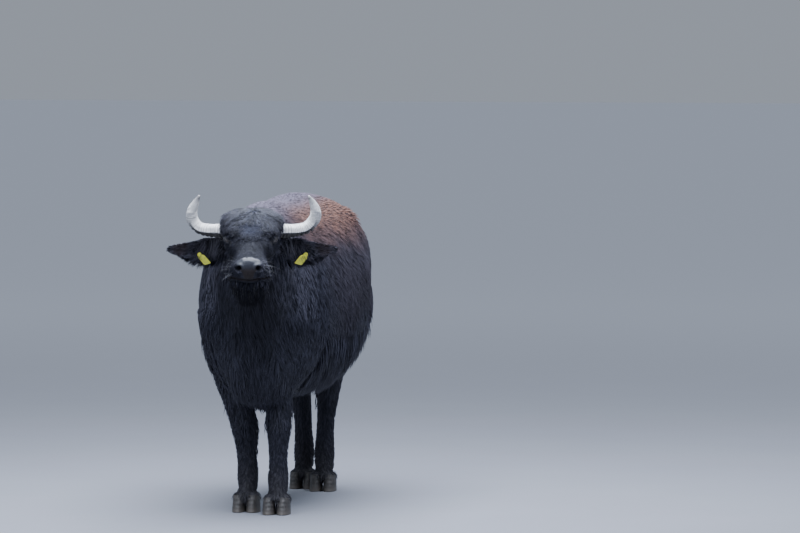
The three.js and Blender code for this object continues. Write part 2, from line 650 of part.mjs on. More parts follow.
// One claw of a cloven hoof, its inner side flat, its sole level with the floor.
const CLAW = { out: 33, half: 31, front: 78, back: 50, topFront: 40, topBack: 46, height: 104, split: 1.5 };
function claw(footX, footY, outward) {
  const rings = [];
  for (let i = 0; i <= 2; i++) {
    const h = i / 2;
    const swell = 1 - 0.1 * h * h;
    const ring = [];
    for (let k = 0; k < 12; k++) {
      const angle = (2 * Math.PI * k) / 12;
      const c = Math.cos(angle);
      const s = Math.sin(angle);
      const front = lerp(CLAW.front, CLAW.topFront, h) * swell;
      const back = lerp(CLAW.back, CLAW.topBack, h);
      const reach = s < 0 ? front : back;
      const out = Math.max(CLAW.out + CLAW.half * swell * Math.sign(c) * Math.abs(c) ** 0.8, CLAW.split);
      const lead = -6 + 4 * h;
      ring.push(vec(footX + outward * out, footY + lead + reach * Math.sign(s) * Math.abs(s) ** 0.85, CLAW.height * h));
    }
    rings.push(ring);
  }
  const middle = (h) => vec(footX + outward * CLAW.out, footY, CLAW.height * h);
  return closedSkin(rings, middle(0), middle(1));
}

function dewclaw(footX, footY, outward) {
  const marks = [
    station(footX + outward * 24, footY + 40, 142, 15, 15, 15),
    station(footX + outward * 27, footY + 62, 122, 16, 15, 15),
    station(footX + outward * 29, footY + 78, 102, 9, 8, 8),
  ];
  return solidOf(pathBody(marks, vec(outward, 0, 0.4), { sides: 6, perSpan: 1, domes: [0, 0.4] }).geometry());
}

// The tail hangs from the croup to the hocks.
const TAIL = [
  chord(RUMP_SHIFT, 790, 1285, 770, 1205, 36),
  chord(RUMP_SHIFT, 850, 1262, 828, 1190, 34),
  chord(RUMP_SHIFT, 890, 1200, 852, 1152, 28),
  chord(RUMP_SHIFT, 906, 1090, 862, 1080, 23),
  chord(RUMP_SHIFT, 908, 940, 870, 938, 19),
  chord(RUMP_SHIFT, 904, 780, 872, 780, 15),
  chord(RUMP_SHIFT, 898, 640, 874, 640, 12),
  chord(RUMP_SHIFT, 893, 540, 876, 540, 9),
];
const tail = chordBody(TAIL, { sides: 8, perSpan: 1, domes: [0.2, 0.6] });
const TAIL_CUTS = [1010];
const SWITCH = [
  chord(RUMP_SHIFT, 908, 690, 864, 690, 19),
  chord(RUMP_SHIFT, 912, 610, 862, 610, 25),
  chord(RUMP_SHIFT, 910, 520, 866, 520, 22),
  chord(RUMP_SHIFT, 902, 440, 876, 440, 12),
];
const switchCore = chordBody(SWITCH, { sides: 8, perSpan: 1, domes: [0.5, 0.6] });
const SWITCH_LOCKS = { length: 190, width: 38, thick: 9, sink: 9, rise: 14, curl: 8 };
const SWITCH_ROWS = [0.3, 1.2, 2.1];
const switchLocks = () => SWITCH_ROWS.flatMap((t, row) =>
  [0, 1, 2].map((k) => lockOn(switchCore, t, degrees(120 * k + 60 * (row % 2) + 20), 0, SWITCH_LOCKS)));

// What belongs to a leg: a slanted-sided block whose side view is the shoulder or thigh and the leg below it.
function legRegion(side, zone, grow) {
  const { y, z, long, tall, column, floorZ, foot } = zone;
  const oval = new THREE.Shape().absellipse(y, z, long + grow, tall + grow, 0, 2 * Math.PI);
  const post = [y - column - grow, y + column + grow, floorZ - 40, z];
  const base = [foot[0] - grow, foot[1] + grow, -100, floorZ + grow];
  const box = ([y0, y1, z0, z1]) =>
    new THREE.BoxGeometry(1200, y1 - y0, z1 - z0).translate(600, (y0 + y1) / 2, (z0 + z1) / 2);
  const disc = new THREE.ExtrudeGeometry(oval, { depth: 1200, bevelEnabled: false, curveSegments: 16 });
  disc.applyMatrix4(new THREE.Matrix4().makeBasis(vec(0, 1, 0), vec(0, 0, 1), vec(1, 0, 0)));
  const outline = joined(solidOf(disc), solidOf(box(post)), solidOf(box(base)));
  const lean = vec(1, 0, -zone.lean).normalize();
  const wall = halfSpace(vec(zone.inner - grow, 0, floorZ), lean);
  const middle = halfSpace(vec(GAP / 2 + (grow ? -GAP / 2 : 0), 0, 0), vec(1, 0, 0));
  const made = geometryOf(outline.intersect(wall).intersect(middle));
  return solidOf((side > 0 ? made : mirroredX(made)).translate(zone.shift, 0, 0));
}

function mirroredX(geometry) {
  return turnedRound(geometry.clone().scale(-1, 1, 1));
}

const SHOULDER_ZONE = {
  y: -570, z: 930, long: 205, tall: 285, column: 178, floorZ: 545, foot: [-1000, -330], inner: 70, lean: 0.3,
  shift: 0,
};
const THIGH_ZONE = {
  y: 610, z: 960, long: 200, tall: 290, column: 175, floorZ: 545, foot: [330, 1100], inner: 60, lean: 0.3,
  shift: RUMP_SHIFT,
};

// Materials, from the photograph.
const matte = (color, roughness) => new THREE.MeshStandardMaterial({ color, roughness, metalness: 0 });
const COAT = matte(0x24262c, 0.85);
const BROWN_COAT = matte(0x3a2c27, 0.85);
const HORN = matte(0xb9b7b4, 0.55);
const HOOF = matte(0x1d1b1a, 0.5);
const EYE = matte(0x120d0a, 0.1);
const TAG_PLASTIC = matte(0xd9d62a, 0.4);

const buffalo = new THREE.Group();
buffalo.name = "water_buffalo";
const headGroup = new THREE.Group();
headGroup.applyMatrix4(headFrame);
buffalo.add(headGroup);

function addNode(name, solid, material, group = buffalo) {
  const geometry = geometryOf(largest(solid));
  const mesh = new THREE.Mesh(geometry, material);
  mesh.name = name;
  if (group === headGroup) geometry.applyMatrix4(headFrame.clone().invert());
  group.add(mesh);
  return mesh;
}

// Whole flesh first, in the standing frame.
const sides = [[1, "left"], [-1, "right"]];
const inHead = (geometry) => solidOf(placed(geometry));
const legs = [
  ...FRONT_FEET.map((foot) => ({ foot, zone: SHOULDER_ZONE, y: FRONT_FOOT_Y, body: leg(FRONT_LEG, foot, 400), kneeZ: 430 })),
  ...HIND_FEET.map((foot) => ({ foot, zone: THIGH_ZONE, y: HIND_FOOT_Y, body: leg(HIND_LEG, foot, 480), kneeZ: 540 })),
];
const trunkSolid = joined(solidOf(trunk.geometry()), throatLocks(), fringeLocks());
const headSolid = solidOf(placed(geometryOf(sculptedHead())));

// The skull's back plane parts head from neck.
const NAPE_CUT = {
  point: vec(0, 150, -75).applyMatrix4(headFrame),
  normal: vec(0, -0.968, 0.25).transformDirection(headFrame),
};
const wholeFront = joined(trunkSolid, headSolid);
const [headPiece, bodyPiece] = parted(wholeFront, NAPE_CUT.point, NAPE_CUT.normal);
const [neckPiece, torsoPiece] = parted(largest(bodyPiece), NECK_ROOT.point, NECK_ROOT.normal);

// Sockets that horns, ears and eyes sit in.
const horns = sides.map(([side]) => horn(side));
const sockets = sides.flatMap(([side], i) => [inHead(horns[i].geometry(GAP)), inHead(ear(side, GAP))]);
addNode("head", without(headPiece, sockets), COAT, headGroup);
addNode("neck", without(neckPiece, sockets), COAT);

sides.forEach(([side, name], i) => {
  addNode("horn_" + name, inHead(horns[i].geometry()), HORN, headGroup);
  const furred = joined(solidOf(ear(side)), earLocks(side));
  const holed = without(furred, tagPin(side, GAP));
  addNode("ear_" + name, inHead(geometryOf(largest(holed))), COAT, headGroup);
  addNode("eye_" + name, inHead(ball(side, EYEBALL_RADIUS, 7)), EYE, headGroup);
});

// Torso and legs share the body between them.
let torso = joined(torsoPiece, legs.map((l) => solidOf(l.body.geometry())));
const tailSolid = solidOf(tail.geometry());
torso = without(torso, solidOf(tail.geometry(GAP)));
const legWhole = legs.map((l) => torso.intersect(legRegion(l.foot.side, l.zone, 0)));
for (const l of legs) torso = without(torso, legRegion(l.foot.side, l.zone, GAP));
addNode("torso", torso, BROWN_COAT);

legs.forEach((l, i) => {
  const { name, side, out, swing, shift } = l.foot;
  const footX = side * out + shift;
  const footY = l.y + swing;
  const coronet = [vec(footX, footY, CORONET_HEIGHT), vec(0, CORONET_SLOPE, 1)];
  const [flesh] = parted(legWhole[i], ...coronet);
  const [upper, lower] = parted(flesh, vec(footX, footY, l.kneeZ), vec(0, 0, 1));
  addNode(name + "_leg_upper", upper, COAT);
  addNode(name + "_leg_lower", lower, COAT);
  for (const [outward, which] of [[side, "outer"], [-side, "inner"]]) {
    const [, horny] = parted(solidOf(claw(footX, footY, outward)), ...coronet);
    addNode(name + "_hoof_" + which, horny, HOOF);
    const spur = without(dewclaw(footX, footY, outward), solidOf(l.body.geometry(GAP)));
    addNode(name + "_dewclaw_" + which, spur, HOOF);
  }
});

const [tailBase, tailEnd] = parted(tailSolid, vec(RUMP_SHIFT, 880, TAIL_CUTS[0]), vec(0, 0, 1));
addNode("tail_base", tailBase, COAT);
addNode("tail_end", tailEnd, COAT);
addNode("tail_switch", without(joined(solidOf(switchCore.geometry()), switchLocks()), solidOf(tail.geometry(GAP))), COAT);

sides.forEach(([side, name]) => {
  addNode("tag_" + name, inHead(geometryOf(tag(side))), TAG_PLASTIC, headGroup);
});

// The origin is on the floor, in the middle of the space the animal takes.
const bounds = new THREE.Box3().setFromObject(buffalo, true);
const middle = bounds.getCenter(vec());
buffalo.position.set(-middle.x, -middle.y, -bounds.min.z);

export default buffalo;
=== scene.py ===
# %% [markdown]
# # A standing water buffalo, life size
#
# This lesson dresses a set of plain solids as a water buffalo that stands square and looks at the viewer. The
# solids come packed in one frame: metres, the floor at z = 0, the animal facing -Y with its left side at +X.
# Every new mesh is made in that same frame, so nothing has to be fitted afterwards.

# %% Load the fixed frame
import math

import bmesh
import bpy
import numpy as np
from mathutils import Matrix, Vector
from mathutils.bvhtree import BVHTree
from mathutils.kdtree import KDTree


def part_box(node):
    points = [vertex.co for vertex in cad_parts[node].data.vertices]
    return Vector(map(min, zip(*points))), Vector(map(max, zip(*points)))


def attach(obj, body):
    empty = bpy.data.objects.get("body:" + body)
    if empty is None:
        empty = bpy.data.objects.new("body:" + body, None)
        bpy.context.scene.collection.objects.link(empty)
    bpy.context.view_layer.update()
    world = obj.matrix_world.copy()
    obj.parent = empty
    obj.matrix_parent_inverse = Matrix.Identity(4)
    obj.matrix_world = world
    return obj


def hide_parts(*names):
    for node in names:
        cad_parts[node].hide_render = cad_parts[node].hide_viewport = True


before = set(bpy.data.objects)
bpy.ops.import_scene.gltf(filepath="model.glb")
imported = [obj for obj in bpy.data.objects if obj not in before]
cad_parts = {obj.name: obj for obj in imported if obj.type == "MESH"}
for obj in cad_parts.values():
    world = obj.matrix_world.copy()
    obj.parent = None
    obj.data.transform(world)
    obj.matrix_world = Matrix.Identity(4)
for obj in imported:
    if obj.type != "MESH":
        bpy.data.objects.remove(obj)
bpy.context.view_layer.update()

# %% [markdown]
# ## The head's own frame
#
# The landmarks of the face are easiest to give from the point half way between the eyes, with the nose
# straight ahead. One matrix then tips and turns all of them at once. Landmarks are in millimetres, as a
# taxidermist would measure them, and turn into metres in the last step.

# %% The head's frame and the eyes
MM = 0.001
EYE_MIDDLE = np.array([63.0, -1200.0, 1294.0])
HEAD_DIP = math.radians(23)
HEAD_TURN = math.radians(7.5)
EYE_RADIUS = 20.0
EYE_OUT = 96.0
SIDES = {"left": 1, "right": -1}

turned = Matrix.Rotation(HEAD_TURN, 3, "Z") @ Matrix.Rotation(HEAD_DIP, 3, "X")
HEAD_AXES = np.array(turned)


def eye_place(side):
    return np.array([side * EYE_OUT, -2.0, 0.0])


packed_eye = (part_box("eye_left")[0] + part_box("eye_left")[1]) / 2
ORIGIN = EYE_MIDDLE + HEAD_AXES @ eye_place(1) - np.array(packed_eye) / MM


def in_body(points):
    """Millimetres of the standing animal to metres of the frame."""
    return (np.asarray(points, float) - ORIGIN) * MM


def in_head(points):
    """Millimetres of the head's own frame to metres of the frame."""
    return (np.asarray(points, float) @ HEAD_AXES.T + EYE_MIDDLE - ORIGIN) * MM


def to_head(places):
    """Metres of the frame to millimetres of the head's own frame."""
    return (np.asarray(places, float) / MM + ORIGIN - EYE_MIDDLE) @ HEAD_AXES


def head_way(directions):
    return np.asarray(directions, float) @ HEAD_AXES.T


print("point between the eyes:", np.round(in_head([0, -2, 0]), 4))

# %% [markdown]
# ## The camera
#
# The picture was taken from far off with a long lens, a little to the animal's left and just above its back.
# A long lens keeps the hind quarters nearly as large as the shoulders. The camera is set from its two angles,
# its distance, and the place in the picture where the point between the eyes falls.

# %% The camera
LENS = 300.0
SENSOR = 36.0
DISTANCE = 30.0
AZIMUTH = math.radians(8.72)
ELEVATION = math.radians(3.2)
PICTURE = (800, 533)
EYE_PIXEL = (251.1, 239.6)

level = math.cos(ELEVATION)
ahead = Vector((-math.sin(AZIMUTH) * level, math.cos(AZIMUTH) * level, -math.sin(ELEVATION)))
right = Vector((math.cos(AZIMUTH), math.sin(AZIMUTH), 0))
above = right.cross(ahead)
per_pixel = DISTANCE / (LENS / SENSOR * PICTURE[0])
across = (EYE_PIXEL[0] - PICTURE[0] / 2) * per_pixel
down = (EYE_PIXEL[1] - PICTURE[1] / 2) * per_pixel
stand = Vector(in_head([0, -2, 0])) - ahead * DISTANCE - right * across + above * down


def in_scene(name, data):
    thing = bpy.data.objects.new(name, data)
    bpy.context.scene.collection.objects.link(thing)
    return thing


camera_data = bpy.data.cameras.new("camera")
camera_data.lens = LENS
camera_data.sensor_width = SENSOR
camera_data.clip_end = 100
camera = in_scene("camera", camera_data)
camera.matrix_world = Matrix.Translation(stand) @ Matrix((right, above, -ahead)).transposed().to_4x4()
bpy.context.scene.camera = camera
print("camera stands at", [round(v, 2) for v in stand])

# %% [markdown]
# ## Bodies that run through landmarks
#
# Trunk, head, legs, tail and horns are all made one way. A few ovals are given along the part and a smooth
# curve runs through each of their numbers. An oval is squared where the animal is slab-sided. Any place on
# such a body is then two numbers, how far along and how far round, which later tells every hair where to grow.

# %% Smooth runs and rounded forms
CAP_BENDS = np.radians([75, 60, 45, 30, 15])


def smooth_run(marks, gaps):
    """Every column of marks as a smooth curve of t = 0, 1, 2 ..., eased by the real gaps between them."""
    marks = np.asarray(marks, float)
    gaps = np.asarray(gaps, float)[:, None]
    rate = np.diff(marks, axis=0) / gaps
    inner = (rate[:-1] * gaps[1:] + rate[1:] * gaps[:-1]) / (gaps[1:] + gaps[:-1])
    slope = np.vstack([rate[:1], inner, rate[-1:]])

    def at(t):
        t = np.asarray(t, float)
        i = np.clip(np.floor(t).astype(int), 0, len(marks) - 2)
        h = (t - i)[..., None]
        step = gaps[i]
        return (
            (1 + 2 * h) * (1 - h) ** 2 * marks[i]
            + h * (1 - h) ** 2 * step * slope[i]
            + h * h * (3 - 2 * h) * marks[i + 1]
            + h * h * (h - 1) * step * slope[i + 1]
        )

    return at


def unit(vectors):
    vectors = np.asarray(vectors, float)
    return vectors / np.maximum(np.linalg.norm(vectors, axis=-1, keepdims=True), 1e-12)


def smoothstep(value, low, high):
    h = np.clip((np.asarray(value, float) - low) / (high - low), 0, 1)
    return h * h * (3 - 2 * h)


def bell(value, middle, width):
    return np.exp(-((value - middle) / width) ** 2)


def near(places, centre, reach):
    """1 at the centre, fading as a bell with the distance from it."""
    return np.exp(-((places - np.asarray(centre)) ** 2).sum(-1) / reach ** 2)


def turns(count):
    return np.linspace(0, 2 * np.pi, count, endpoint=False)


class Form:
    """A rounded body through landmarks. Its surface is known by t along it and an angle round it."""

    def __init__(self, oval_at, spans, place, relief=None):
        self.oval_at, self.spans, self.place, self.relief = oval_at, spans, place, relief

    def bare(self, t, angle, inset=0.0, reach=1.0):
        middle, right, up, half, above, below, roof, keel = self.oval_at(t)
        c, s = np.cos(angle), np.sin(angle)
        power = 2 / np.where(s >= 0, roof, keel)
        side = (half - inset) * reach * np.sign(c) * np.abs(c) ** power
        rise = (np.where(s >= 0, above, below) - inset) * reach * np.sign(s) * np.abs(s) ** power
        return middle + right * side[..., None] + up * rise[..., None]

    def normal(self, t, angle):
        e = 0.01
        t, angle = np.broadcast_arrays(np.asarray(t, float), np.asarray(angle, float))
        early, late = np.clip(t - e, 0, self.spans), np.clip(t + e, 0, self.spans)
        along = self.bare(late, angle) - self.bare(early, angle)
        round_it = self.bare(t, angle + e) - self.bare(t, angle - e)
        n = unit(np.cross(along, round_it))
        outward = self.bare(t, angle) - self.oval_at(t)[0]
        return n * np.where((n * outward).sum(-1) < 0, -1.0, 1.0)[..., None]

    def local(self, t, angle, inset=0.0):
        t, angle = np.broadcast_arrays(np.asarray(t, float), np.asarray(angle, float))
        p = self.bare(t, angle, inset)
        if self.relief is not None:
            p = p + self.normal(t, angle) * self.relief(p, t, angle)[..., None]
        return p

    def point(self, t, angle, inset=0.0):
        return self.place(self.local(t, angle, inset))

    def skin(self, rings, sides, inset=0.0, domes=(0.3, 0.3)):
        """A closed mesh of the form with rounded ends: its points and faces."""
        angles = turns(sides)
        layers = []
        for end, bent in ((0, CAP_BENDS), (self.spans, CAP_BENDS[::-1])):
            middle, right, up, half, above, below, _, _ = (v[0] for v in self.oval_at(np.array([float(end)])))
            way = np.cross(right, up)
            further_in = self.oval_at(np.array([abs(end - 0.02)]))[0][0]
            way = way if np.dot(way, middle - further_in) > 0 else -way
            depth = domes[0 if end == 0 else 1] * min(half, above + below)
            cap = []
            for b in bent:
                t = np.full(sides, float(end))
                cap.append(self.bare(t, angles, inset, math.cos(b)) + way * depth * math.sin(b))
            layers.append((cap, middle + way * depth))
        sheet = [self.local(np.full(sides, t), angles, inset) for t in np.linspace(0, self.spans, rings)]
        rows = np.array(layers[0][0] + sheet + layers[1][0])
        points = self.place(np.vstack([layers[0][1][None], rows.reshape(-1, 3), layers[1][1][None]]))
        return points, ring_faces(len(rows), sides)


def ring_faces(rows, sides):
    """Quads over stacked rings, with a fan at both ends."""
    at = lambda i, k: 1 + i * sides + k % sides
    last = 1 + rows * sides
    faces = [(0, at(0, k + 1), at(0, k)) for k in range(sides)]
    faces += [(last, at(rows - 1, k), at(rows - 1, k + 1)) for k in range(sides)]
    for i in range(rows - 1):
        faces += [(at(i, k), at(i, k + 1), at(i + 1, k + 1), at(i + 1, k)) for k in range(sides)]
    return faces


def chord_form(marks, place, relief=None):
    """A body in the plane of symmetry. A landmark is the chord from the upper to the lower point of the outline:
    x, y and z of both, half width, share of the chord below the widest place, squareness above and below."""
    rows = np.array([tuple(m) + (0.5, 2, 2) if len(m) == 6 else tuple(m) for m in marks], float)
    lean, drop = np.diff(rows[:, 1] + rows[:, 3]), np.diff(rows[:, 2] + rows[:, 4])
    gaps = np.sqrt(lean ** 2 + drop ** 2 + 4 * np.diff(rows[:, 0]) ** 2)
    run = smooth_run(rows, gaps)

    def oval_at(t):
        x, top_y, top_z, low_y, low_z, half, waist, roof, keel = np.moveaxis(run(t), -1, 0)
        low = np.stack([x, low_y, low_z], -1)
        rise = np.stack([x, top_y, top_z], -1) - low
        length = np.linalg.norm(rise, axis=-1)
        up = unit(rise)
        right = np.broadcast_to([1.0, 0, 0], up.shape)
        below = length * waist
        return low + up * below[..., None], right, up, half, length * (1 - waist), below, roof, keel

    return Form(oval_at, len(rows) - 1, place, relief)


print("forms are ready")

# %% [markdown]
# ## Landmarks of the body
#
# The trunk and neck are one run from the seat bones into the skull. The legs are chords from the front of the
# limb to its back. The numbers are the same as in the solids, so the skin stays inside them.

# %% Trunk, legs and tail
RUMP_SHIFT = 30
FOOT_OUT = 86
ELBOW_HEIGHT, ELBOW_SPREAD = 575, 16000
TRUNK = [
    (RUMP_SHIFT, 838, 1200, 815, 1010, 95, 0.5, 2, 2),
    (RUMP_SHIFT, 775, 1300, 765, 860, 222, 0.55, 2.4, 2),
    (24, 630, 1386, 635, 730, 288, 0.52, 2.3, 2),
    (14, 440, 1432, 460, 600, 332, 0.54, 2.15, 2),
    (4, 240, 1428, 260, 525, 380, 0.5, 2.1, 2),
    (0, 0, 1422, 0, 505, 376, 0.48, 2.05, 2.1),
    (0, -230, 1428, -230, 520, 350, 0.47, 1.95, 2.1),
    (0, -450, 1434, -440, 530, 316, 0.47, 1.8, 2.1),
    (0, -620, 1424, -620, 510, 282, 0.52, 1.8, 2),
    (6, -730, 1412, -770, 610, 232, 0.52, 1.9, 2),
    (18, -820, 1406, -880, 780, 182, 0.52, 2, 2),
    (34, -900, 1404, -955, 930, 156, 0.5, 2, 2),
    (46, -970, 1400, -1008, 1060, 132, 0.5, 2, 2),
    (54, -1030, 1390, -1050, 1170, 106, 0.5, 2, 2),
    (58, -1080, 1370, -1090, 1225, 80, 0.5, 2, 2),
]
FRONT_LEG = [
    (125, -590, 1200, -450, 1220, 45),
    (180, -700, 1030, -430, 1040, 82),
    (194, -725, 860, -410, 830, 80),
    (176, -680, 725, -430, 700, 84),
    (142, -642, 585, -480, 575, 74),
    (114, -632, 465, -515, 460, 60),
    (98, -640, 398, -522, 395, 58),
    (90, -622, 325, -528, 322, 50),
    (87, -614, 245, -528, 240, 45),
    (86, -618, 168, -512, 150, 50),
    (86, -632, 112, -535, 92, 45),
    (86, -642, 84, -545, 56, 54),
    (86, -650, 62, -552, 34, 55),
]
HIND_LEG = [
    (140, 500, 1160, 720, 1180, 70),
    (188, 425, 990, 790, 980, 100),
    (200, 420, 820, 765, 840, 94),
    (167, 500, 665, 745, 695, 70),
    (128, 600, 565, 755, 605, 56),
    (110, 640, 480, 785, 520, 52),
    (98, 655, 400, 765, 415, 47),
    (90, 660, 290, 755, 290, 44),
    (86, 652, 168, 758, 150, 50),
    (86, 640, 112, 737, 92, 45),
    (86, 634, 84, 730, 56, 54),
    (86, 627, 62, 725, 34, 55),
]
TAIL = [
    (RUMP_SHIFT, 790, 1285, 770, 1205, 36),
    (RUMP_SHIFT, 850, 1262, 828, 1190, 34),
    (RUMP_SHIFT, 890, 1200, 852, 1152, 28),
    (RUMP_SHIFT, 906, 1090, 862, 1080, 23),
    (RUMP_SHIFT, 908, 940, 870, 938, 19),
    (RUMP_SHIFT, 904, 780, 872, 780, 15),
    (RUMP_SHIFT, 898, 640, 874, 640, 12),
    (RUMP_SHIFT, 893, 540, 876, 540, 9),
]
FRONT = dict(marks=FRONT_LEG, y=-598, knee=400, shift=0)
HIND = dict(marks=HIND_LEG, y=678, knee=480, shift=RUMP_SHIFT, tuck=0)
FEET = {
    "front_left": dict(FRONT, side=1, out=79, swing=-15, tuck=52),
    "front_right": dict(FRONT, side=-1, out=81, swing=90, tuck=0),
    "hind_left": dict(HIND, side=1, out=62, swing=-60),
    "hind_right": dict(HIND, side=-1, out=56, swing=60),
}


def leg_form(foot):
    """The neutral leg, mirrored to its side, swung so that its foot stands in its place, its elbow tucked in."""
    marks = np.array([list(m) + [0.5, 2, 2] for m in foot["marks"]], float)
    height = (marks[:, 2] + marks[:, 4]) / 2
    drop = marks[1, 2] - height
    swing = foot["swing"] * smoothstep(drop, 150, marks[1, 2] - 250)
    narrow = (foot["out"] - FOOT_OUT) * smoothstep(drop, 150, marks[1, 2] - foot["knee"])
    tucked = foot["tuck"] * np.exp(-(height - ELBOW_HEIGHT) ** 2 / ELBOW_SPREAD)
    marks[:, 0] = foot["side"] * (marks[:, 0] + narrow - tucked) + foot["shift"]
    marks[:, 1] += swing
    marks[:, 3] += swing
    marks[:, 5] -= 0.2 * tucked
    return chord_form(marks, in_body)


trunk = chord_form(TRUNK, in_body)
legs = {name: leg_form(foot) for name, foot in FEET.items()}
tail = chord_form(TAIL, in_body)
landmarks = len(TRUNK) + 2 * len(FRONT_LEG) + 2 * len(HIND_LEG) + len(TAIL)
print("trunk, four legs and tail run through", landmarks, "landmarks")

# %% [markdown]
# ## Landmarks of the head
#
# A buffalo's head is long and nearly straight in front, broad over the poll, and narrow before the eyes. It
# widens again at the muzzle. Soft swellings and hollows on top of the ovals give brow, cheek, nostril rims and
# the lips.

# %% The skull's run and the forms of the face
SKULL = [
    (-175, 60, -165, -100, 98, 0.52, 2.4, 2),
    (-135, 84, -125, -138, 124, 0.58, 2.8, 1.9),
    (-85, 90, -80, -150, 134, 0.6, 2.8, 1.8),
    (-35, 80, -35, -148, 122, 0.58, 2.6, 1.8),
    (10, 68, 10, -140, 112, 0.55, 2.4, 1.8),
    (75, 54, 72, -128, 96, 0.47, 2, 1.8),
    (140, 45, 135, -124, 82, 0.45, 1.9, 1.9),
    (200, 40, 190, -148, 90, 0.48, 1.9, 2.1),
    (245, 40, 238, -150, 94, 0.5, 1.95, 2.3),
    (272, 36, 264, -122, 79, 0.53, 2, 2.2),
    (290, 16, 280, -98, 62, 0.54, 2, 2.1),
    (299, -10, 293, -70, 40, 0.54, 2, 2),
]
FACE = [
    (92, -6, 36, 30, 9),
    (104, 6, 0, 26, 8),
    (100, -50, -84, 55, 10),
    (86, 70, -36, 34, 6),
    (78, 118, -66, 36, -7),
    (56, 280, -4, 20, 7),
    (0, 286, -84, 24, 5),
    (0, 238, -134, 34, 6),
    (84, 232, -80, 30, 5),
    (0, -112, 84, 90, 3),
]


def swellings(places, table):
    """How far each place is pushed out. A row: x, distance ahead, z, reach and push, on both sides."""
    push = np.zeros(places.shape[:-1])
    for x, ahead_of, z, reach, height in table:
        for side in ((1, -1) if x else (1,)):
            push += height * near(places, [side * x, -ahead_of, z], reach)
    return push


head = chord_form(
    [(0, -top_ahead, top, -low_ahead, low, half, waist, roof, keel)
     for top_ahead, top, low_ahead, low, half, waist, roof, keel in SKULL],
    in_head,
    lambda p, t, angle: swellings(p, FACE),
)
print("the head runs through", len(SKULL), "landmarks and has", len(FACE), "swellings")

# %% [markdown]
# ## One skin over all of it
#
# The separate forms overlap deep inside each other. A voxel remesh melts them into one closed skin without a
# seam, which no join of the solids could give. Its cells are even, so the face, which needs finer ones, is
# subdivided afterwards. A few rounds of relaxing round off the steps that the cells leave and the creases
# where legs and neck meet the trunk.

# %% Melt the forms into one skin
CELL = 0.0106
COAT_DEPTH = {"trunk": 11, "head": 4, "leg": 6, "tail": 5}


def new_object(name, points, faces):
    mesh = bpy.data.meshes.new(name)
    mesh.from_pydata([tuple(p) for p in points], [], [tuple(f) for f in faces])
    mesh.validate()
    return in_scene(name, mesh)


def points_of(thing):
    flat = np.empty(len(thing.data.vertices) * 3)
    thing.data.vertices.foreach_get("co", flat)
    return flat.reshape(-1, 3)


def normals_of(thing):
    flat = np.empty(len(thing.data.vertices) * 3, np.float32)
    thing.data.vertices.foreach_get("normal", flat)
    return flat.reshape(-1, 3).astype(float)


def set_points(thing, points):
    thing.data.vertices.foreach_set("co", np.ascontiguousarray(points, np.float32).ravel())
    thing.data.update()


def faced_out(thing):
    """Turns every face of a closed mesh outwards."""
    bm = bmesh.new()
    bm.from_mesh(thing.data)
    bmesh.ops.recalc_face_normals(bm, faces=bm.faces)
    if bm.calc_volume(signed=True) < 0:
        bmesh.ops.reverse_faces(bm, faces=bm.faces)
    bm.to_mesh(thing.data)
    bm.free()
    return thing


def frozen(thing):
    """The object with its modifiers applied, as a plain mesh."""
    depsgraph = bpy.context.evaluated_depsgraph_get()
    mesh = bpy.data.meshes.new_from_object(thing.evaluated_get(depsgraph))
    old = thing.data
    thing.modifiers.clear()
    thing.data = mesh
    bpy.data.meshes.remove(old)
    return thing


def melted(name, parts, cell):
    points, faces = [], []
    for part_points, part_faces in parts:
        faces += [tuple(i + len(points) for i in f) for f in part_faces]
        points += list(part_points)
    thing = faced_out(new_object(name, points, faces))
    remesh = thing.modifiers.new("melt", "REMESH")
    remesh.mode = "VOXEL"
    remesh.voxel_size = cell
    return frozen(thing)


parts = [trunk.skin(180, 96, COAT_DEPTH["trunk"], (0.25, 0.2))]
parts += [head.skin(140, 96, COAT_DEPTH["head"], (0.3, 0.3))]
parts += [leg.skin(110, 48, COAT_DEPTH["leg"], (0.3, 0.05)) for leg in legs.values()]
parts += [tail.skin(120, 24, COAT_DEPTH["tail"], (0.2, 0.6))]
skin = melted("skin", parts, CELL)
print("skin:", len(skin.data.polygons), "faces after melting")

# %% Finer cells on the head, and rounds of relaxing


def refine(thing, chosen):
    """Halves the edges of every face whose middle is chosen."""
    bm = bmesh.new()
    bm.from_mesh(thing.data)
    middles = np.array([f.calc_center_median() for f in bm.faces])
    edges = {e for face, keep in zip(bm.faces, chosen(middles)) if keep for e in face.edges}
    bmesh.ops.subdivide_edges(bm, edges=list(edges), cuts=1, use_grid_fill=True)
    bm.to_mesh(thing.data)
    bm.free()


def relax(thing, rounds, weight=1.0, spring=0.0):
    """Draws points towards the middle of their neighbours, and back by the spring so that nothing shrinks."""
    pairs = np.empty(len(thing.data.edges) * 2, np.int32)
    thing.data.edges.foreach_get("vertices", pairs)
    a, b = pairs.reshape(-1, 2).T
    points = points_of(thing)
    count = np.bincount(a, minlength=len(points)) + np.bincount(b, minlength=len(points))
    weight = np.broadcast_to(weight, len(points))[:, None]
    for _ in range(rounds):
        for pull in (0.5, -spring) if spring else (0.5,):
            total = np.stack([
                np.bincount(a, points[b, axis], len(points)) + np.bincount(b, points[a, axis], len(points))
                for axis in range(3)
            ], -1)
            points = points + pull * weight * (total / count[:, None] - points)
    set_points(thing, points)


def body_mm(thing):
    return points_of(thing) / MM + ORIGIN


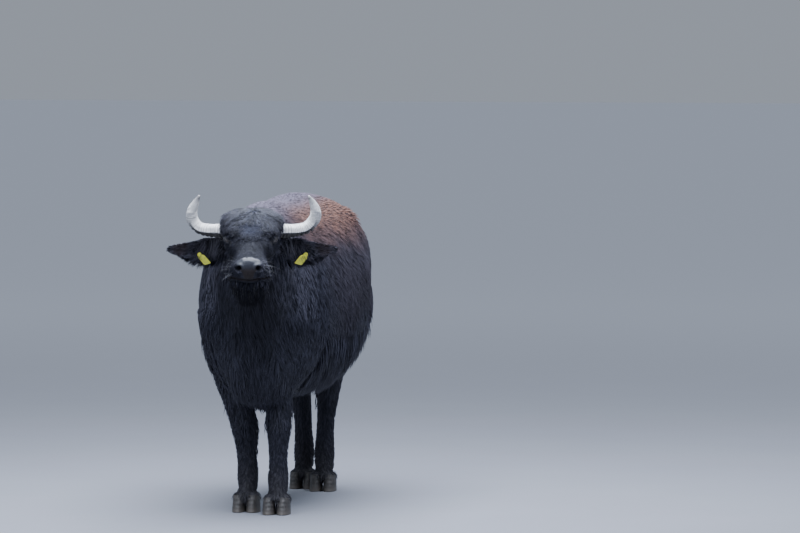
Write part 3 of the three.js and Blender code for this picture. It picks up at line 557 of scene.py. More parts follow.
CREASES = [  # x, y, z and reach
    (130, -560, 620, 130), (-150, -520, 620, 130), (190, 590, 700, 150), (-140, 620, 700, 150),
    (58, -1110, 1290, 150), (30, 800, 1220, 70), (0, -560, 530, 120), (30, 600, 700, 130),
    (210, -600, 980, 150), (-210, -600, 980, 150), (250, 560, 960, 160), (-190, 600, 960, 160),
]
relax(skin, 6, spring=0.52)
crease = np.clip(sum(near(body_mm(skin), spot[:3], spot[3]) for spot in CREASES), 0, 1)
relax(skin, 26, crease)
refine(skin, lambda m: (to_head(m)[:, 1] < 105) & (np.abs(to_head(m)[:, 0]) < 190) & (to_head(m)[:, 2] > -220))


def on_face(middles):
    local = to_head(middles)
    eyes = np.minimum(*(np.linalg.norm(local - eye_place(side), axis=1) for side in (1, -1)))
    return (eyes < 44) | (local[:, 1] < -222)


refine(skin, on_face)
relax(skin, 2, (to_head(points_of(skin))[:, 1] < 110) * 1.0, spring=0.52)
print("skin:", len(skin.data.polygons), "faces with a finer head")

# %% [markdown]
# ## Bone and muscle under the hide
#
# The hide of a cow buffalo hangs on a large frame: shoulder blade, point of the shoulder, hip bones and pin
# bones stand out, and the flank sinks in before the hip. Each is one soft push along the skin's own normal.
# That keeps the table short and lets a place be moved without any modelling.

# %% Push out bone and muscle
FRAME_MARKS = [  # x, y, z, reach and push; both sides, unless x is 0
    (0, -520, 1440, 120, 7), (175, -610, 1170, 105, 13), (215, -500, 1010, 100, 8), (285, -330, 1080, 110, -9),
    (190, -735, 900, 85, 15), (150, -720, 1030, 60, -6), (228, -440, 810, 60, 11), (120, -860, 1130, 110, 7),
    (235, 430, 1320, 62, 20), (150, 560, 1400, 110, 6), (285, 290, 1235, 90, -15), (110, 785, 1235, 52, 11),
    (0, 80, 1440, 80, 6), (0, 330, 1445, 90, 7), (0, 690, 1360, 70, 5), (245, 470, 830, 80, 14),
    (245, 600, 1080, 150, 9), (110, 810, 1030, 90, 9), (330, 60, 1130, 160, -5), (0, -760, 600, 90, 12),
    (330, -60, 780, 170, 9), (0, 330, 560, 120, -6), (60, 470, 640, 60, 12),
]


def pushed(thing, push):
    set_points(thing, points_of(thing) + normals_of(thing) * push[:, None] * MM)


body_push = np.zeros(len(skin.data.vertices))
for x, y, z, reach, height in FRAME_MARKS:
    for side in ((1, -1) if x else (1,)):
        middle = np.interp(y, [240, 440, 775], [4, 14, RUMP_SHIFT])
        body_push += height * near(body_mm(skin), (side * x + middle, y, z), reach)
pushed(skin, body_push)
print("bone and muscle move the hide by", round(body_push.min(), 1), "to", round(body_push.max(), 1), "mm")

# %% [markdown]
# ## Lids, nostrils and lips
#
# A real eye sits in the head and the lids are a thin fold over the ball. Every point near the eye keeps its
# direction from the ball's middle and only its distance changes: behind the ball inside the almond of the
# opening, just proud of it on the lids, and back to the face further out. Nostrils are pushed in along their
# own direction, with a raised wing round them, and the mouth is a narrow groove between two soft lips.

# %% Sculpt the face in its own frame
GAZE = {side: unit([side * 0.88, -0.45, 0.12]) for side in (1, -1)}
LIDS = dict(half_width=17.5, upper=5.6, lower=5.2, radius=22, slant=0.10)


def eye_frame(side):
    across = unit(np.cross([0, 0, 1.0], GAZE[side]))
    return across, np.cross(GAZE[side], across)


def lid_distance(local, side):
    """How far a place is outside the almond of the opening, how high it is, and how squarely it is faced."""
    across, upward = eye_frame(side)
    ray = unit(local - eye_place(side))
    u, v, w = (ray @ across) * LIDS["radius"], (ray @ upward) * LIDS["radius"], ray @ GAZE[side]
    slant = v - LIDS["slant"] * side * u
    edge = np.where(slant > 0, LIDS["upper"], LIDS["lower"]) * (1 - np.clip(u / LIDS["half_width"], -1, 1) ** 2)
    beyond = np.hypot(np.clip(np.abs(u) - LIDS["half_width"], 0, None), slant)
    return np.where(np.abs(u) < LIDS["half_width"], np.abs(slant) - edge, beyond), slant, w


def with_lids(local, side):
    away, height, facing = lid_distance(local, side)
    offset = local - eye_place(side)
    distance = np.linalg.norm(offset, axis=1)
    lid = EYE_RADIUS - 4 + 7 * smoothstep(away, -0.6, 0.9) + 2.5 * smoothstep(away, 0.9, 3.5)
    crease = bell(away, np.where(height > 0, 9.0, 8.0), 1.7)
    brow_fold = bell(away, 12.5, 3) * (height > 0)
    lid = lid - 2.6 * crease + 1.5 * brow_fold
    share = (1 - smoothstep(away, 10, 25)) * smoothstep(facing, 0.05, 0.4) * (distance < 60)
    return eye_place(side) + unit(offset) * (distance * (1 - share) + lid * share)[:, None]


NOSTRIL = dict(out=46.0, ahead=300.0, height=-6.0, wide=14.5, tall=12.5, depth=32.0)


def nostril_shape(local, side):
    """0 in the middle of the nostril, 1 on its rim. The outer end curls up and back as a comma."""
    u = side * local[:, 0] - NOSTRIL["out"]
    v = local[:, 2] - NOSTRIL["height"]
    v = v - 0.022 * np.clip(u, 0, None) ** 2 + 0.25 * u
    return np.sqrt((u / NOSTRIL["wide"]) ** 2 + (v / NOSTRIL["tall"]) ** 2)


def with_nostril(local, side):
    q = nostril_shape(local, side)
    front = smoothstep(-local[:, 1], NOSTRIL["ahead"] - 60, NOSTRIL["ahead"] - 28) * (side * local[:, 0] > 4)
    inward = unit([-side * 0.3, 1, 0.1])
    depth = NOSTRIL["depth"] * (1 - smoothstep(q, 0.25, 1.1)) - 3.4 * bell(q, 1.5, 0.32)
    return local + inward * (depth * front)[:, None]


MOUTH = [(150, -98), (190, -90), (235, -74), (262, -61), (282, -55), (330, -52)]


def mouth_height(ahead_of):
    return np.interp(ahead_of, [m[0] for m in MOUTH], [m[1] for m in MOUTH])


def with_mouth(local, normals):
    rise = local[:, 2] - mouth_height(-local[:, 1])
    along = smoothstep(-local[:, 1], 146, 176)
    groove = -7.5 * bell(rise, 0, 2.6) + 3.0 * bell(rise, 9, 6) + 3.2 * bell(rise, -10, 6)
    under_nose = smoothstep(rise, 2, 10) * (1 - smoothstep(local[:, 2], -26, -6))
    split = -3.0 * bell(local[:, 0], 0, 2.4) * under_nose
    return local + normals * (along * groove + split * smoothstep(-local[:, 1], 262, 280))[:, None]


local = to_head(points_of(skin))
face = (local[:, 1] < 60) & (np.abs(local[:, 0]) < 170) & (local[:, 2] > -200)
normals = normals_of(skin) @ HEAD_AXES
shaped = with_mouth(local, normals)
for side in (1, -1):
    shaped = with_nostril(shaped, side)
    shaped = with_lids(shaped, side)
places = points_of(skin)
places[face] = in_head(shaped[face])
set_points(skin, places)
print("lids, nostrils and mouth move", int(face.sum()), "points")

# %% [markdown]
# ## Ears
#
# An ear is a leaf, cupped to the front and thickest where it roots in the skull. It is laid out in two sheets
# from rim to rim, the back of the leaf and its hollow side, and closed at both ends. A Boolean then makes it
# one body with the skin, so that there is no seam under the hair at its root.

# %% Build the ears and join them to the skin
EAR_AXIS = [  # middle of the leaf, half height, depth of the cup
    (96, 118, -74, 30, 24), (132, 128, -90, 42, 30), (170, 132, -109, 56, 32), (214, 130, -119, 58, 27),
    (262, 124, -114, 44, 20), (318, 110, -105, 27, 13), (372, 102, -96, 7, 3),
]
EAR_END = len(EAR_AXIS) - 1
EAR_LEAF = 5.0
EAR_PLUG = 34.0
ear_gaps = np.linalg.norm(np.diff(np.array(EAR_AXIS)[:, :3], axis=0), axis=1)
ear_run = smooth_run(EAR_AXIS, ear_gaps)


def ear_axes(side, t):
    t = np.asarray(t, float)
    marks = ear_run(t)
    step = ear_run(np.clip(t + 0.05, 0, EAR_END)) - ear_run(np.clip(t - 0.05, 0, EAR_END))
    mirror = np.array([side, 1, 1])
    along = unit(step[..., :3] * mirror)
    facing = unit([side * 0.1, -1, -0.1])
    upward = unit(np.cross(along, np.broadcast_to(facing, along.shape))) * -side
    return marks, along, facing, upward, marks[..., :3] * mirror


def ear_point(side, t, share, lift=0.0):
    """A place on the ear: share is -1 at the lower rim and 1 at the upper; lift 0 is the back, 1 the hollow."""
    t, share = np.broadcast_arrays(np.asarray(t, float), np.asarray(share, float))
    marks, along, facing, upward, middle = ear_axes(side, t)
    thick = EAR_LEAF + EAR_PLUG * (1 - smoothstep(t, 0.2, 1.6))
    thick = thick * np.sqrt(np.clip(1.04 - share ** 6, 0, 1))
    depth = -marks[..., 4] * (1 - share ** 2) + thick * lift
    ruffle = 1.6 * np.sin(9 * t + 5 * share) * smoothstep(t, 1.5, 3) * share ** 2
    return middle + upward * (share * marks[..., 3])[..., None] + facing * (depth + ruffle)[..., None]


def ear_mesh(side):
    shares = np.cos(np.linspace(np.pi, 0, 21))
    rows = []
    for t in np.linspace(0, EAR_END, 64):
        back = ear_point(side, t, shares, 0.0)
        hollow = ear_point(side, t, shares[::-1], 1.0)
        rows.append(np.vstack([back, hollow[1:-1]]))
    rows = np.array(rows)
    root = rows[0].mean(0) - np.array([side * 2, 0, 0])
    tip = rows[-1].mean(0) + np.array([side * 7, -1, 2])
    points = in_head(np.vstack([root[None], rows.reshape(-1, 3), tip[None]]))
    return points, ring_faces(len(rows), rows.shape[1])


for name, side in SIDES.items():
    leaf = faced_out(new_object("ear_" + name + "_leaf", *ear_mesh(side)))
    union = skin.modifiers.new("join", "BOOLEAN")
    union.operation = "UNION"
    union.solver = "MANIFOLD"
    union.object = leaf
    frozen(skin)
    bpy.data.objects.remove(leaf)
print("skin:", len(skin.data.polygons), "faces with both ears")

# %% [markdown]
# ## Eyes
#
# The balls are separate, because they are wet and hard where the lids are hair and skin. Each is a ball with
# a slightly steeper cornea in front. Every point also keeps how far it stands off the line of sight, so that the
# iris and the long level pupil can be painted from that alone.

# %% Eyeballs with a cornea
def ball_grid(rows, columns):
    polar = np.linspace(0, np.pi, rows + 2)[1:-1]
    round_it = turns(columns)
    ways = [(0, 0, 1.0)]
    for p in polar:
        ways += [(math.sin(p) * math.cos(r), math.sin(p) * math.sin(r), math.cos(p)) for r in round_it]
    return np.array(ways + [(0, 0, -1.0)]), ring_faces(rows, columns)


def float_layer(thing, name, values):
    layer = thing.data.attributes.new(name, "FLOAT", "POINT")
    layer.data.foreach_set("value", np.ascontiguousarray(values, np.float32))


CORNEA = 0.055
DEGREES = 57
PUPIL_SHAPE = 0.5  # height over width
eyes = {}
for name, side in SIDES.items():
    ways, faces = ball_grid(40, 64)
    across, upward = eye_frame(side)
    bulge = 1 + CORNEA * np.clip((ways[:, 2] - 0.8) / 0.2, 0, 1) ** 1.5
    local = eye_place(side) + (ways @ np.array([across, upward, GAZE[side]])) * (EYE_RADIUS * bulge)[:, None]
    eye = faced_out(new_object("eyeball_" + name, in_head(local), faces))
    float_layer(eye, "off_gaze", np.degrees(np.arccos(np.clip(ways[:, 2], -1, 1))))
    float_layer(eye, "off_pupil", np.hypot(ways[:, 0] * DEGREES, ways[:, 1] * DEGREES / PUPIL_SHAPE))
    eyes[name] = eye
print("eyeballs:", {name: len(e.data.polygons) for name, e in eyes.items()})

# %% [markdown]
# ## Horns
#
# Swamp and river buffalo both carry ringed horns: out of the skull, then up and in, flattened in front, with a
# coarse lumpy keel below. The rings are growth rings, so they crowd irregularly near the base and fade towards
# the smooth tip. They are real relief on a run of ovals, not paint, because the light rakes across them.

# %% Ringed horns
def path_form(marks, facing, place, relief=None):
    rows = np.array(marks, float)
    run = smooth_run(rows, np.linalg.norm(np.diff(rows[:, :3], axis=0), axis=1))
    last = len(rows) - 1

    def oval_at(t):
        v = run(t)
        late, early = (run(np.clip(t + step, 0, last))[..., :3] for step in (0.02, -0.02))
        ahead_way = unit(late - early)
        right_way = unit(np.cross(np.broadcast_to(facing, ahead_way.shape), ahead_way))
        up_way = unit(np.cross(ahead_way, right_way))
        half, over, under, roof, keel = np.moveaxis(v[..., 3:], -1, 0)
        return v[..., :3], right_way, up_way, half, over, under, roof, keel

    return Form(oval_at, last, place, relief)


HORN = [  # place, half width, height above and below
    (100, 100, 0, 31, 26, 40), (146, 112, -6, 31, 26, 38), (196, 132, -15, 30, 25, 34),
    (244, 150, -10, 28, 24, 30), (273, 162, 20, 26, 25, 29), (279, 163, 62, 23, 22, 27),
    (265, 155, 106, 16, 15, 18), (248, 142, 148, 5, 4.5, 5),
]
HORN_SQUARENESS = (2.3, 1.7)
HORN_FLARE = [0, 0, 0, 0, 0.35, 0.7, 1, 1]
FLARE = 10
HORN_ROWS, HORN_SIDES = 260, 56


def ripple(value, seed):
    """Smooth irregular waves of about -1 to 1, the same on every run."""
    draw = np.random.default_rng(seed)
    total = 0
    for k in range(3):
        total = total + np.sin(value * 1.9 ** k + draw.uniform(0, 6.28)) / 1.5 ** k
    return total / 2.1


def horn_rings(t, side):
    """0 on the rings and 1 in the grooves between them, and how strong they are there."""
    phase = t * 5.2 + 0.5 * ripple(t * 3.1, 3 + side)
    groove = (1 - np.abs(np.sin(np.pi * phase))) ** 2
    where = smoothstep(t, 0.35, 0.9) * (1 - smoothstep(t, 4.6, 6.2))
    return groove, where * (0.8 + 0.3 * ripple(phase * 2.2, 9 + side))


def horn_relief(side):
    def relief(p, t, angle):
        groove, strength = horn_rings(t, side)
        low = -np.sin(angle)
        brim = bell(low, 0.2, 0.16) * smoothstep(t, 0.3, 1.0) * (1 - smoothstep(t, 4.6, 6.2))
        under = smoothstep(low, 0.26, 0.5)
        knob = np.abs(np.sin(np.pi * (t * 2.6 + 0.2 * ripple(t * 4, 7)))) ** 0.6 - 0.6
        lumps = under * smoothstep(t, 0.4, 0.8) * (1 - smoothstep(t, 3.2, 4.4))
        return -2.6 * groove * strength * (1 - under) + 2.6 * brim + 7 * knob * lumps - 2.5 * lumps

    return relief


horns = {}
for name, side in SIDES.items():
    out = [x + side * FLARE * share for (x, *_), share in zip(HORN, HORN_FLARE)]
    marks = [(side * x, *rest, *HORN_SQUARENESS) for x, (_, *rest) in zip(out, HORN)]
    form = path_form(marks, np.array([side * -0.3, 0.1, 1.0]), in_head, horn_relief(side))
    horns[name] = faced_out(new_object("ringed_horn_" + name, *form.skin(HORN_ROWS, HORN_SIDES, 0.0, (0.2, 0.7))))
    along = np.repeat(np.linspace(0, form.spans, HORN_ROWS), HORN_SIDES)
    cap = np.zeros(1 + len(CAP_BENDS) * HORN_SIDES)
    t_of = np.concatenate([cap, along, cap + form.spans])
    angle_of = np.concatenate([[0], np.tile(turns(HORN_SIDES), HORN_ROWS + 2 * len(CAP_BENDS)), [0]])
    float_layer(horns[name], "grown", t_of)
    float_layer(horns[name], "keel", np.clip(-np.sin(angle_of), -1, 1))
    float_layer(horns[name], "groove", np.prod(horn_rings(t_of, side), axis=0))
print("horns:", {name: len(h.data.polygons) for name, h in horns.items()})

# %% [markdown]
# ## Hooves
#
# The foot is cloven: two claws side by side, each flat on its inner face and on its sole, with the growth of
# the horn showing as shallow rings that run with the coronet. Two small dewclaws sit behind them. All soles
# are at z = 0, where the animal stands.

# %% Cloven hooves and dewclaws
CLAW = dict(out=33, half=30.6, front=77.6, back=49.6, top_front=40, top_back=46, split=1.7)
CORONET = dict(height=72, slope=0.16)
DEWCLAW = [(24, 40, 142, 15, 15, 15), (27, 62, 122, 16, 15, 15), (29, 78, 102, 9, 8, 8)]
CLAW_SIDES = 56


def claw_mesh(foot_x, foot_y, outward):
    rows = []
    c, s = np.cos(turns(CLAW_SIDES)), np.sin(turns(CLAW_SIDES))
    for h in np.concatenate([[0, 0.012, 0.03], np.linspace(0.06, 1, 34)]):
        bulge = 1 - 0.1 * h * h
        ground = 1 - 0.035 * (1 - smoothstep(h, 0, 0.03))
        growth = 1 + 0.011 * math.sin(h * 26 + 0.5) * smoothstep(h, 0.1, 0.3)
        front = (CLAW["front"] + (CLAW["top_front"] - CLAW["front"]) * h * 0.69) * bulge * growth
        back = CLAW["back"] + (CLAW["top_back"] - CLAW["back"]) * h * 0.69
        reach = np.where(s < 0, front, back) * ground
        wide = CLAW["out"] + CLAW["half"] * bulge * ground * growth * np.sign(c) * np.abs(c) ** 0.85
        x = foot_x + outward * np.maximum(wide, CLAW["split"])
        y = foot_y - 6 + 2.8 * h + reach * np.sign(s) * np.abs(s) ** 0.88
        z = h * (CORONET["height"] - CORONET["slope"] * (y - foot_y) - 0.4)
        rows.append(np.stack([x, y, z], -1))
    rows = np.array(rows)
    ends = rows[0].mean(0), rows[-1].mean(0)
    points = np.vstack([ends[0][None], rows.reshape(-1, 3), ends[1][None]])
    return in_body(points), ring_faces(len(rows), CLAW_SIDES)


hoof_pieces = {}
for foot_name, foot in FEET.items():
    foot_x, foot_y = foot["side"] * foot["out"] + foot["shift"], foot["y"] + foot["swing"]
    for which, outward in (("outer", foot["side"]), ("inner", -foot["side"])):
        claw = new_object(foot_name + "_claw_" + which, *claw_mesh(foot_x, foot_y, outward))
        hoof_pieces[foot_name + "_hoof_" + which] = faced_out(claw)
        marks = [(foot_x + outward * out, foot_y + back, *rest, 2, 2) for out, back, *rest in DEWCLAW]
        spur = path_form(marks, np.array([outward, 0, 0.4]), in_body)
        spur = new_object(foot_name + "_spur_" + which, *spur.skin(24, 28, 0.0, (0.2, 0.5)))
        hoof_pieces[foot_name + "_dewclaw_" + which] = faced_out(spur)
print("claws and dewclaws:", len(hoof_pieces))

# %% [markdown]
# ## Ear tags
#
# A farm tag is a soft plastic plate that narrows to a neck, held by a button, with a pin through the ear to a
# second button behind. Both tags are left bare. A small bevel catches the light on their edges, as moulded
# plastic does.

# %% Tags, buttons and pins
TAG = dict(width=44, neck=18, shoulder=12, bottom=62, corner=7, thick=2.2, turn=0.55, lean=0.6)
TAG_PLACE = (240, 108, -128)
TAG_PIN = dict(radius=3.6, front=10, cap=6.5, rear=12, start=-1.2, thick=5, length=40)


def rounded(corners, radius, steps=5):
    """The outline with each corner turned into a small arc."""
    out = []
    n = len(corners)
    for i in range(n):
        here, before, after = (np.array(corners[j % n], float) for j in (i, i - 1, i + 1))
        r = min(radius, 0.45 * np.linalg.norm(before - here), 0.45 * np.linalg.norm(after - here))
        start, end = here + unit(before - here) * r, here + unit(after - here) * r
        for k in range(steps + 1):
            h = k / steps
            out.append((1 - h) ** 2 * start + 2 * h * (1 - h) * here + h * h * end)
    return out


def plate(bm, outline, low, high):
    """A flat closed plate in the x, z plane from y = low to y = high."""
    a = [bm.verts.new((x, low, z)) for x, z in outline]
    b = [bm.verts.new((x, high, z)) for x, z in outline]
    bm.faces.new(a)
    bm.faces.new(b[::-1])
    for i in range(len(a)):
        j = (i + 1) % len(a)
        bm.faces.new((a[j], a[i], b[i], b[j]))


def tag_piece(name, side):
    half, neck, shoulder, bottom = TAG["width"] / 2, TAG["neck"] / 2, TAG["shoulder"], TAG["bottom"]
    right_half = [(neck, 9), (neck, -shoulder + 6), (half, -shoulder), (half, -bottom)]
    corners = [(-neck, 9)] + right_half + [(-x, z) for x, z in right_half[:0:-1]]
    bm = bmesh.new()
    plate(bm, rounded(corners, TAG["corner"]), -TAG["thick"] / 2, TAG["thick"] / 2)
    for vert in bm.verts:
        vert.co.y += 3.0 * (vert.co.z / bottom) ** 2
    turn = Matrix.Rotation(side * TAG["lean"], 4, "Y") @ Matrix.Rotation(side * TAG["turn"], 4, "Z")
    bmesh.ops.transform(bm, matrix=turn, verts=bm.verts)
    start, thick, length = TAG_PIN["start"], TAG_PIN["thick"], TAG_PIN["length"]
    discs = {
        "front": (-thick, start), "cap": (start - thick, -thick), "radius": (start, length + 1),
        "rear": (length, length + thick),
    }
    for part, (low, high) in discs.items():
        plate(bm, [(TAG_PIN[part] * math.cos(a), TAG_PIN[part] * math.sin(a)) for a in turns(32)], low, high)
    bmesh.ops.translate(bm, vec=(side * TAG_PLACE[0], TAG_PLACE[1], TAG_PLACE[2]), verts=bm.verts)
    bmesh.ops.recalc_face_normals(bm, faces=bm.faces)
    thing = new_object(name, [], [])
    bm.to_mesh(thing.data)
    bm.free()
    set_points(thing, in_head(points_of(thing)))
    bevel = thing.modifiers.new("edges", "BEVEL")
    bevel.width = 0.0006
    bevel.segments = 2
    bevel.limit_method = "ANGLE"
    return frozen(thing)


tags = {name: tag_piece("ear_tag_" + name, side) for name, side in SIDES.items()}
print("tags:", {name: len(t.data.polygons) for name, t in tags.items()})

# %% [markdown]
# ## How hair lies
#
# Hair is built as thousands of thin tapered tufts, each a closed mesh, because an exported model keeps no
# particle hair. A tuft needs four things: a root on the skin, the skin's normal there, the way the coat lies,
# and its size. The lie is a flow over the whole animal: backwards on the back, down the neck, sides and legs,
# out from the parting over the brow. It is laid onto the skin at each root and stirred a little by slow waves.

# %% Find roots on the skin
rng = np.random.default_rng(41)
skin_faces = [tuple(f.vertices) for f in skin.data.polygons]
skin_tree = BVHTree.FromPolygons([tuple(p) for p in points_of(skin)], skin_faces)


def settle(places, limit=0.034):
    """Each place moved to the skin, with the skin's normal there. Places deeper than the limit are dropped."""
    spots, ways, kept = [], [], []
    for i, place in enumerate(places):
        spot, way, _, gap = skin_tree.find_nearest(place, limit)
        if spot is not None:
            spots.append(spot)
            ways.append(way)
            kept.append(i)
    return np.array(spots), np.array(ways), np.array(kept, int)


CHARTS = {
    "trunk": (0.01, 0.01, 0.97, 0.45), "head": (0.01, 0.48, 0.45, 0.25), "tail": (0.48, 0.48, 0.24, 0.12),
    "front_left": (0.01, 0.76, 0.23, 0.22), "front_right": (0.26, 0.76, 0.23, 0.22),
    "hind_left": (0.51, 0.76, 0.23, 0.22), "hind_right": (0.76, 0.76, 0.23, 0.22),
    "ear_left": (0.74, 0.48, 0.24, 0.12), "ear_right": (0.74, 0.62, 0.24, 0.12),
}


def on_chart(name, along, around):
    """The place of (0 to 1, 0 to 1) in the flat unwrap of the skin's own shape."""
    x, y, wide, tall = CHARTS[name]
    return np.stack([x + wide * along, y + tall * around], -1)


def scatter(form, chart, count, t_range, angle_range, thickness=None):
    """Roots spread evenly over a form's area, or thicker where thickness says, and set on the skin."""
    t = np.linspace(*t_range, 121)
    angle = np.radians(np.linspace(*angle_range, 121))
    grid = form.point(t[:, None], angle[None, :])
    area = np.linalg.norm(np.cross(np.diff(grid, axis=0)[:, :-1], np.diff(grid, axis=1)[:-1]), axis=-1)
    middle = grid[:-1, :-1]
    if thickness is not None:
        area = area * thickness(middle)
    cells = rng.choice(area.size, count, p=(area / area.sum()).ravel())
    i, j = np.unravel_index(cells, area.shape)
    t_at = t[i] + rng.random(count) * (t[1] - t[0])
    angle_at = angle[j] + rng.random(count) * (angle[1] - angle[0])
    spots, ways, kept = settle(form.point(t_at, angle_at))
    uv = on_chart(chart, t_at[kept] / form.spans, (angle_at[kept] / (2 * np.pi)) % 1)
    return spots, ways, uv


def stirred(places, ways, normals, amount, wavelength, seed):
    """Turns each way about the normal by slow waves, so that the coat has streaks and swirls."""
    draw = np.random.default_rng(seed)
    turn = np.zeros(len(places))
    for k in range(4):
        step = unit(draw.normal(size=3)) * 2 * np.pi / (wavelength * draw.uniform(0.6, 1.7))
        turn += np.sin(places @ step + draw.uniform(0, 6.28)) / 2
    turn = amount * turn + amount * 0.35 * draw.normal(size=len(places))
    across = np.cross(normals, ways)
    return ways * np.cos(turn)[:, None] + across * np.sin(turn)[:, None]


def laid(flow, normals):
    """The part of a flow that runs along the skin."""
    flow = np.asarray(flow, float)
    return unit(flow - normals * (flow * normals).sum(-1, keepdims=True))


def combed(flow, spots, normals, amount, wavelength, seed):
    """The way that each hair lies: a flow laid along the skin, and stirred."""
    return stirred(spots, laid(flow, normals), normals, amount, wavelength, seed)


print("skin can be found by", len(skin_faces), "faces")

# %% [markdown]
# ## One tuft, many tufts
#
# A tuft has three sides: flat below, a low ridge above. It starts under the skin, lifts, bends over and tapers
# to a point. Neighbours lean to a common middle so that they clot into locks, as damp coarse hair does. All
# tufts of a piece are worked out at once as arrays and become one mesh, with each tuft's faces on a tiny patch
# of the unwrap at its root.

# %% How tufts clot, bend and taper
TUFT_RIDGE = 0.34  # its height as a share of the tuft's width
TUFT_PATCH = 0.003


def varied(value, spread, count):
    return np.broadcast_to(value, count) * (1 + spread * rng.uniform(-1, 1, count))


def clumped(spots, length, size, pull):
    """How far each tuft leans towards the middle of its clump, as a vector at the tip."""
    count = max(2, int(len(spots) / size))
    seeds = rng.choice(len(spots), count, replace=False)
    tree = KDTree(count)
    for i, seed in enumerate(seeds):
        tree.insert(spots[seed], i)
    tree.balance()
    nearest = np.array([tree.find(spot)[1] for spot in spots])
    gap = spots[seeds][nearest] - spots
    reach = np.linalg.norm(gap, axis=1, keepdims=True)
    return gap * pull * np.clip(length[:, None] / np.maximum(reach, 1e-6), 0, 1)


def tuft_lines(spots, normals, ways, length, lift, rings, curl, waves, fall, clump, sink, sway):
    """The middle line of every tuft: for each ring, from the root to the tip, one point of each."""
    flat = np.cross(ways, normals)
    lean = clumped(spots, length, *clump)
    drift = rng.uniform(-1, 1, len(spots)) * sway * length
    phase = rng.uniform(0, 6.28, len(spots)) * 0.35
    lines = []
    for u in np.arange(rings + 1) / rings:
        up = -sink + (sink + lift) * math.sin(min(1.0, 1.5 * u + 0.12 * (u > 0)) * math.pi / 2) - curl * u * u
        line = spots + ways * (length * (u - 0.05 * (u == 0)))[:, None] + normals * up[:, None]
        line = line + flat * (drift * u * u + waves * np.sin(phase + 7.5 * u) * u)[:, None] + lean * u ** 1.6
        lines.append(line + np.array([0, 0, -1.0]) * (fall * length * u * u)[:, None])
    return lines


def tuft_rings(lines, normals, width):
    """Three points round a line at each ring and one at its tip: places, normals, shares along and across."""
    rings = len(lines) - 1
    points, facing, along_at, across_at = [], [], [], []
    for k, line in enumerate(lines):
        u = k / rings
        onward = unit(lines[min(k + 1, rings)] - lines[max(k - 1, 0)])
        up = unit(normals - onward * (normals * onward).sum(-1, keepdims=True))
        side = np.cross(onward, up)
        if k == rings:
            ring, ways, across = [line], [up], [0.5]
        else:
            half = (width / 2 * (0.72 if k == 0 else 1 - 0.75 * u ** 1.7))[:, None]
            ring = [line - side * half, line + side * half, line + up * half * 2 * TUFT_RIDGE]
            ways, across = [unit(up - side), unit(up + side), up], [0, 1, 0.5]
        points.append(np.stack(ring, 1))
        facing.append(np.stack(ways, 1))
        along_at += [u] * len(ring)
        across_at += across
    return np.concatenate(points, 1), np.concatenate(facing, 1), np.array(along_at), np.array(across_at)


def tuft_faces(rings):
    """One tuft's faces: the root, three quads round every step, and three triangles at the tip."""
    faces = [(0, 1, 2)]
    for a in range(0, 3 * (rings - 1), 3):
        faces += [(a, a + 3, a + 4, a + 1), (a + 1, a + 4, a + 5, a + 2), (a + 2, a + 5, a + 3, a)]
    a, tip = 3 * (rings - 1), 3 * rings
    return faces + [(a, tip, a + 1), (a + 1, tip, a + 2), (a + 2, tip, a)]


print("a tuft of 3 rings has", len(tuft_faces(3)), "faces")

# %% Make a piece of coat from its tufts
COAT, GROWN = [], []
THIN = 1.0


def many(count):
    return int(count * THIN)


def alike(name, points, facing, faces, uv):
    """One mesh of many tufts, from the points, normals and unwrap of each and the faces of one."""
    count, per = points.shape[:2]
    sizes = np.array([len(f) for f in faces])
    corners = np.concatenate(faces)
    starts = np.concatenate([[0], np.cumsum(sizes)[:-1]])
    tuft = np.arange(count)[:, None]
    mesh = bpy.data.meshes.new(name)
    mesh.vertices.add(count * per)
    mesh.vertices.foreach_set("co", points.astype(np.float32).ravel())
    mesh.loops.add(count * len(corners))
    mesh.loops.foreach_set("vertex_index", (corners + per * tuft).astype(np.int32).ravel())
    mesh.polygons.add(count * len(sizes))
    mesh.polygons.foreach_set("loop_start", (starts + len(corners) * tuft).astype(np.int32).ravel())
    mesh.polygons.foreach_set("use_smooth", np.ones(count * len(sizes), bool))
    mesh.uv_layers.new(name="OFBake").data.foreach_set("uv", uv[:, corners].astype(np.float32).ravel())
    mesh.update(calc_edges=True)
    mesh.normals_split_custom_set_from_vertices(facing.reshape(-1, 3))
    print(f"{name}: {count} tufts, {count * int((sizes - 2).sum())} triangles")
    return mesh


def tufts(name, spots, normals, ways, uv, length, width, lift=0.006, rings=3, curl=0.0, waves=0.0, fall=0.0,
          clump=(9, 0.5), sink=0.003, sway=0.12):
    """A piece of coat, with one tuft on every root."""
    n = len(spots)
    length, width, lift = varied(length, 0.22, n), varied(width, 0.25, n), varied(lift, 0.35, n)
    lines = tuft_lines(spots, normals, ways, length, lift, rings, curl, waves, fall, clump, sink, sway)
    points, facing, along_at, across_at = tuft_rings(lines, normals, width)
    patch = np.stack([across_at - 0.5, along_at - 0.5], -1) * TUFT_PATCH
    thing = in_scene(name, alike(name, points, facing, tuft_faces(rings), uv[:, None] + patch))
    float_layer(thing, "along", np.tile(along_at, n))
    float_layer(thing, "across", np.tile(across_at, n))
    float_layer(thing, "shade", np.repeat(rng.random(n), len(along_at)))
    GROWN.append([spots, ways, uv, length[:, None], width[:, None], lift[:, None]])
    COAT.append(thing)


print("share of the coat that is grown:", THIN)

# %% [markdown]
# ## The body's coat
#
# The winter coat is a few centimetres long. It lies back along the spine, slants down over the flank, and
# hangs straight down the neck, where it shows as long streaks. Each length of the trunk is a piece of its own.
# Tufts that would stand inside a leg or the skull find no skin near them and are left out.

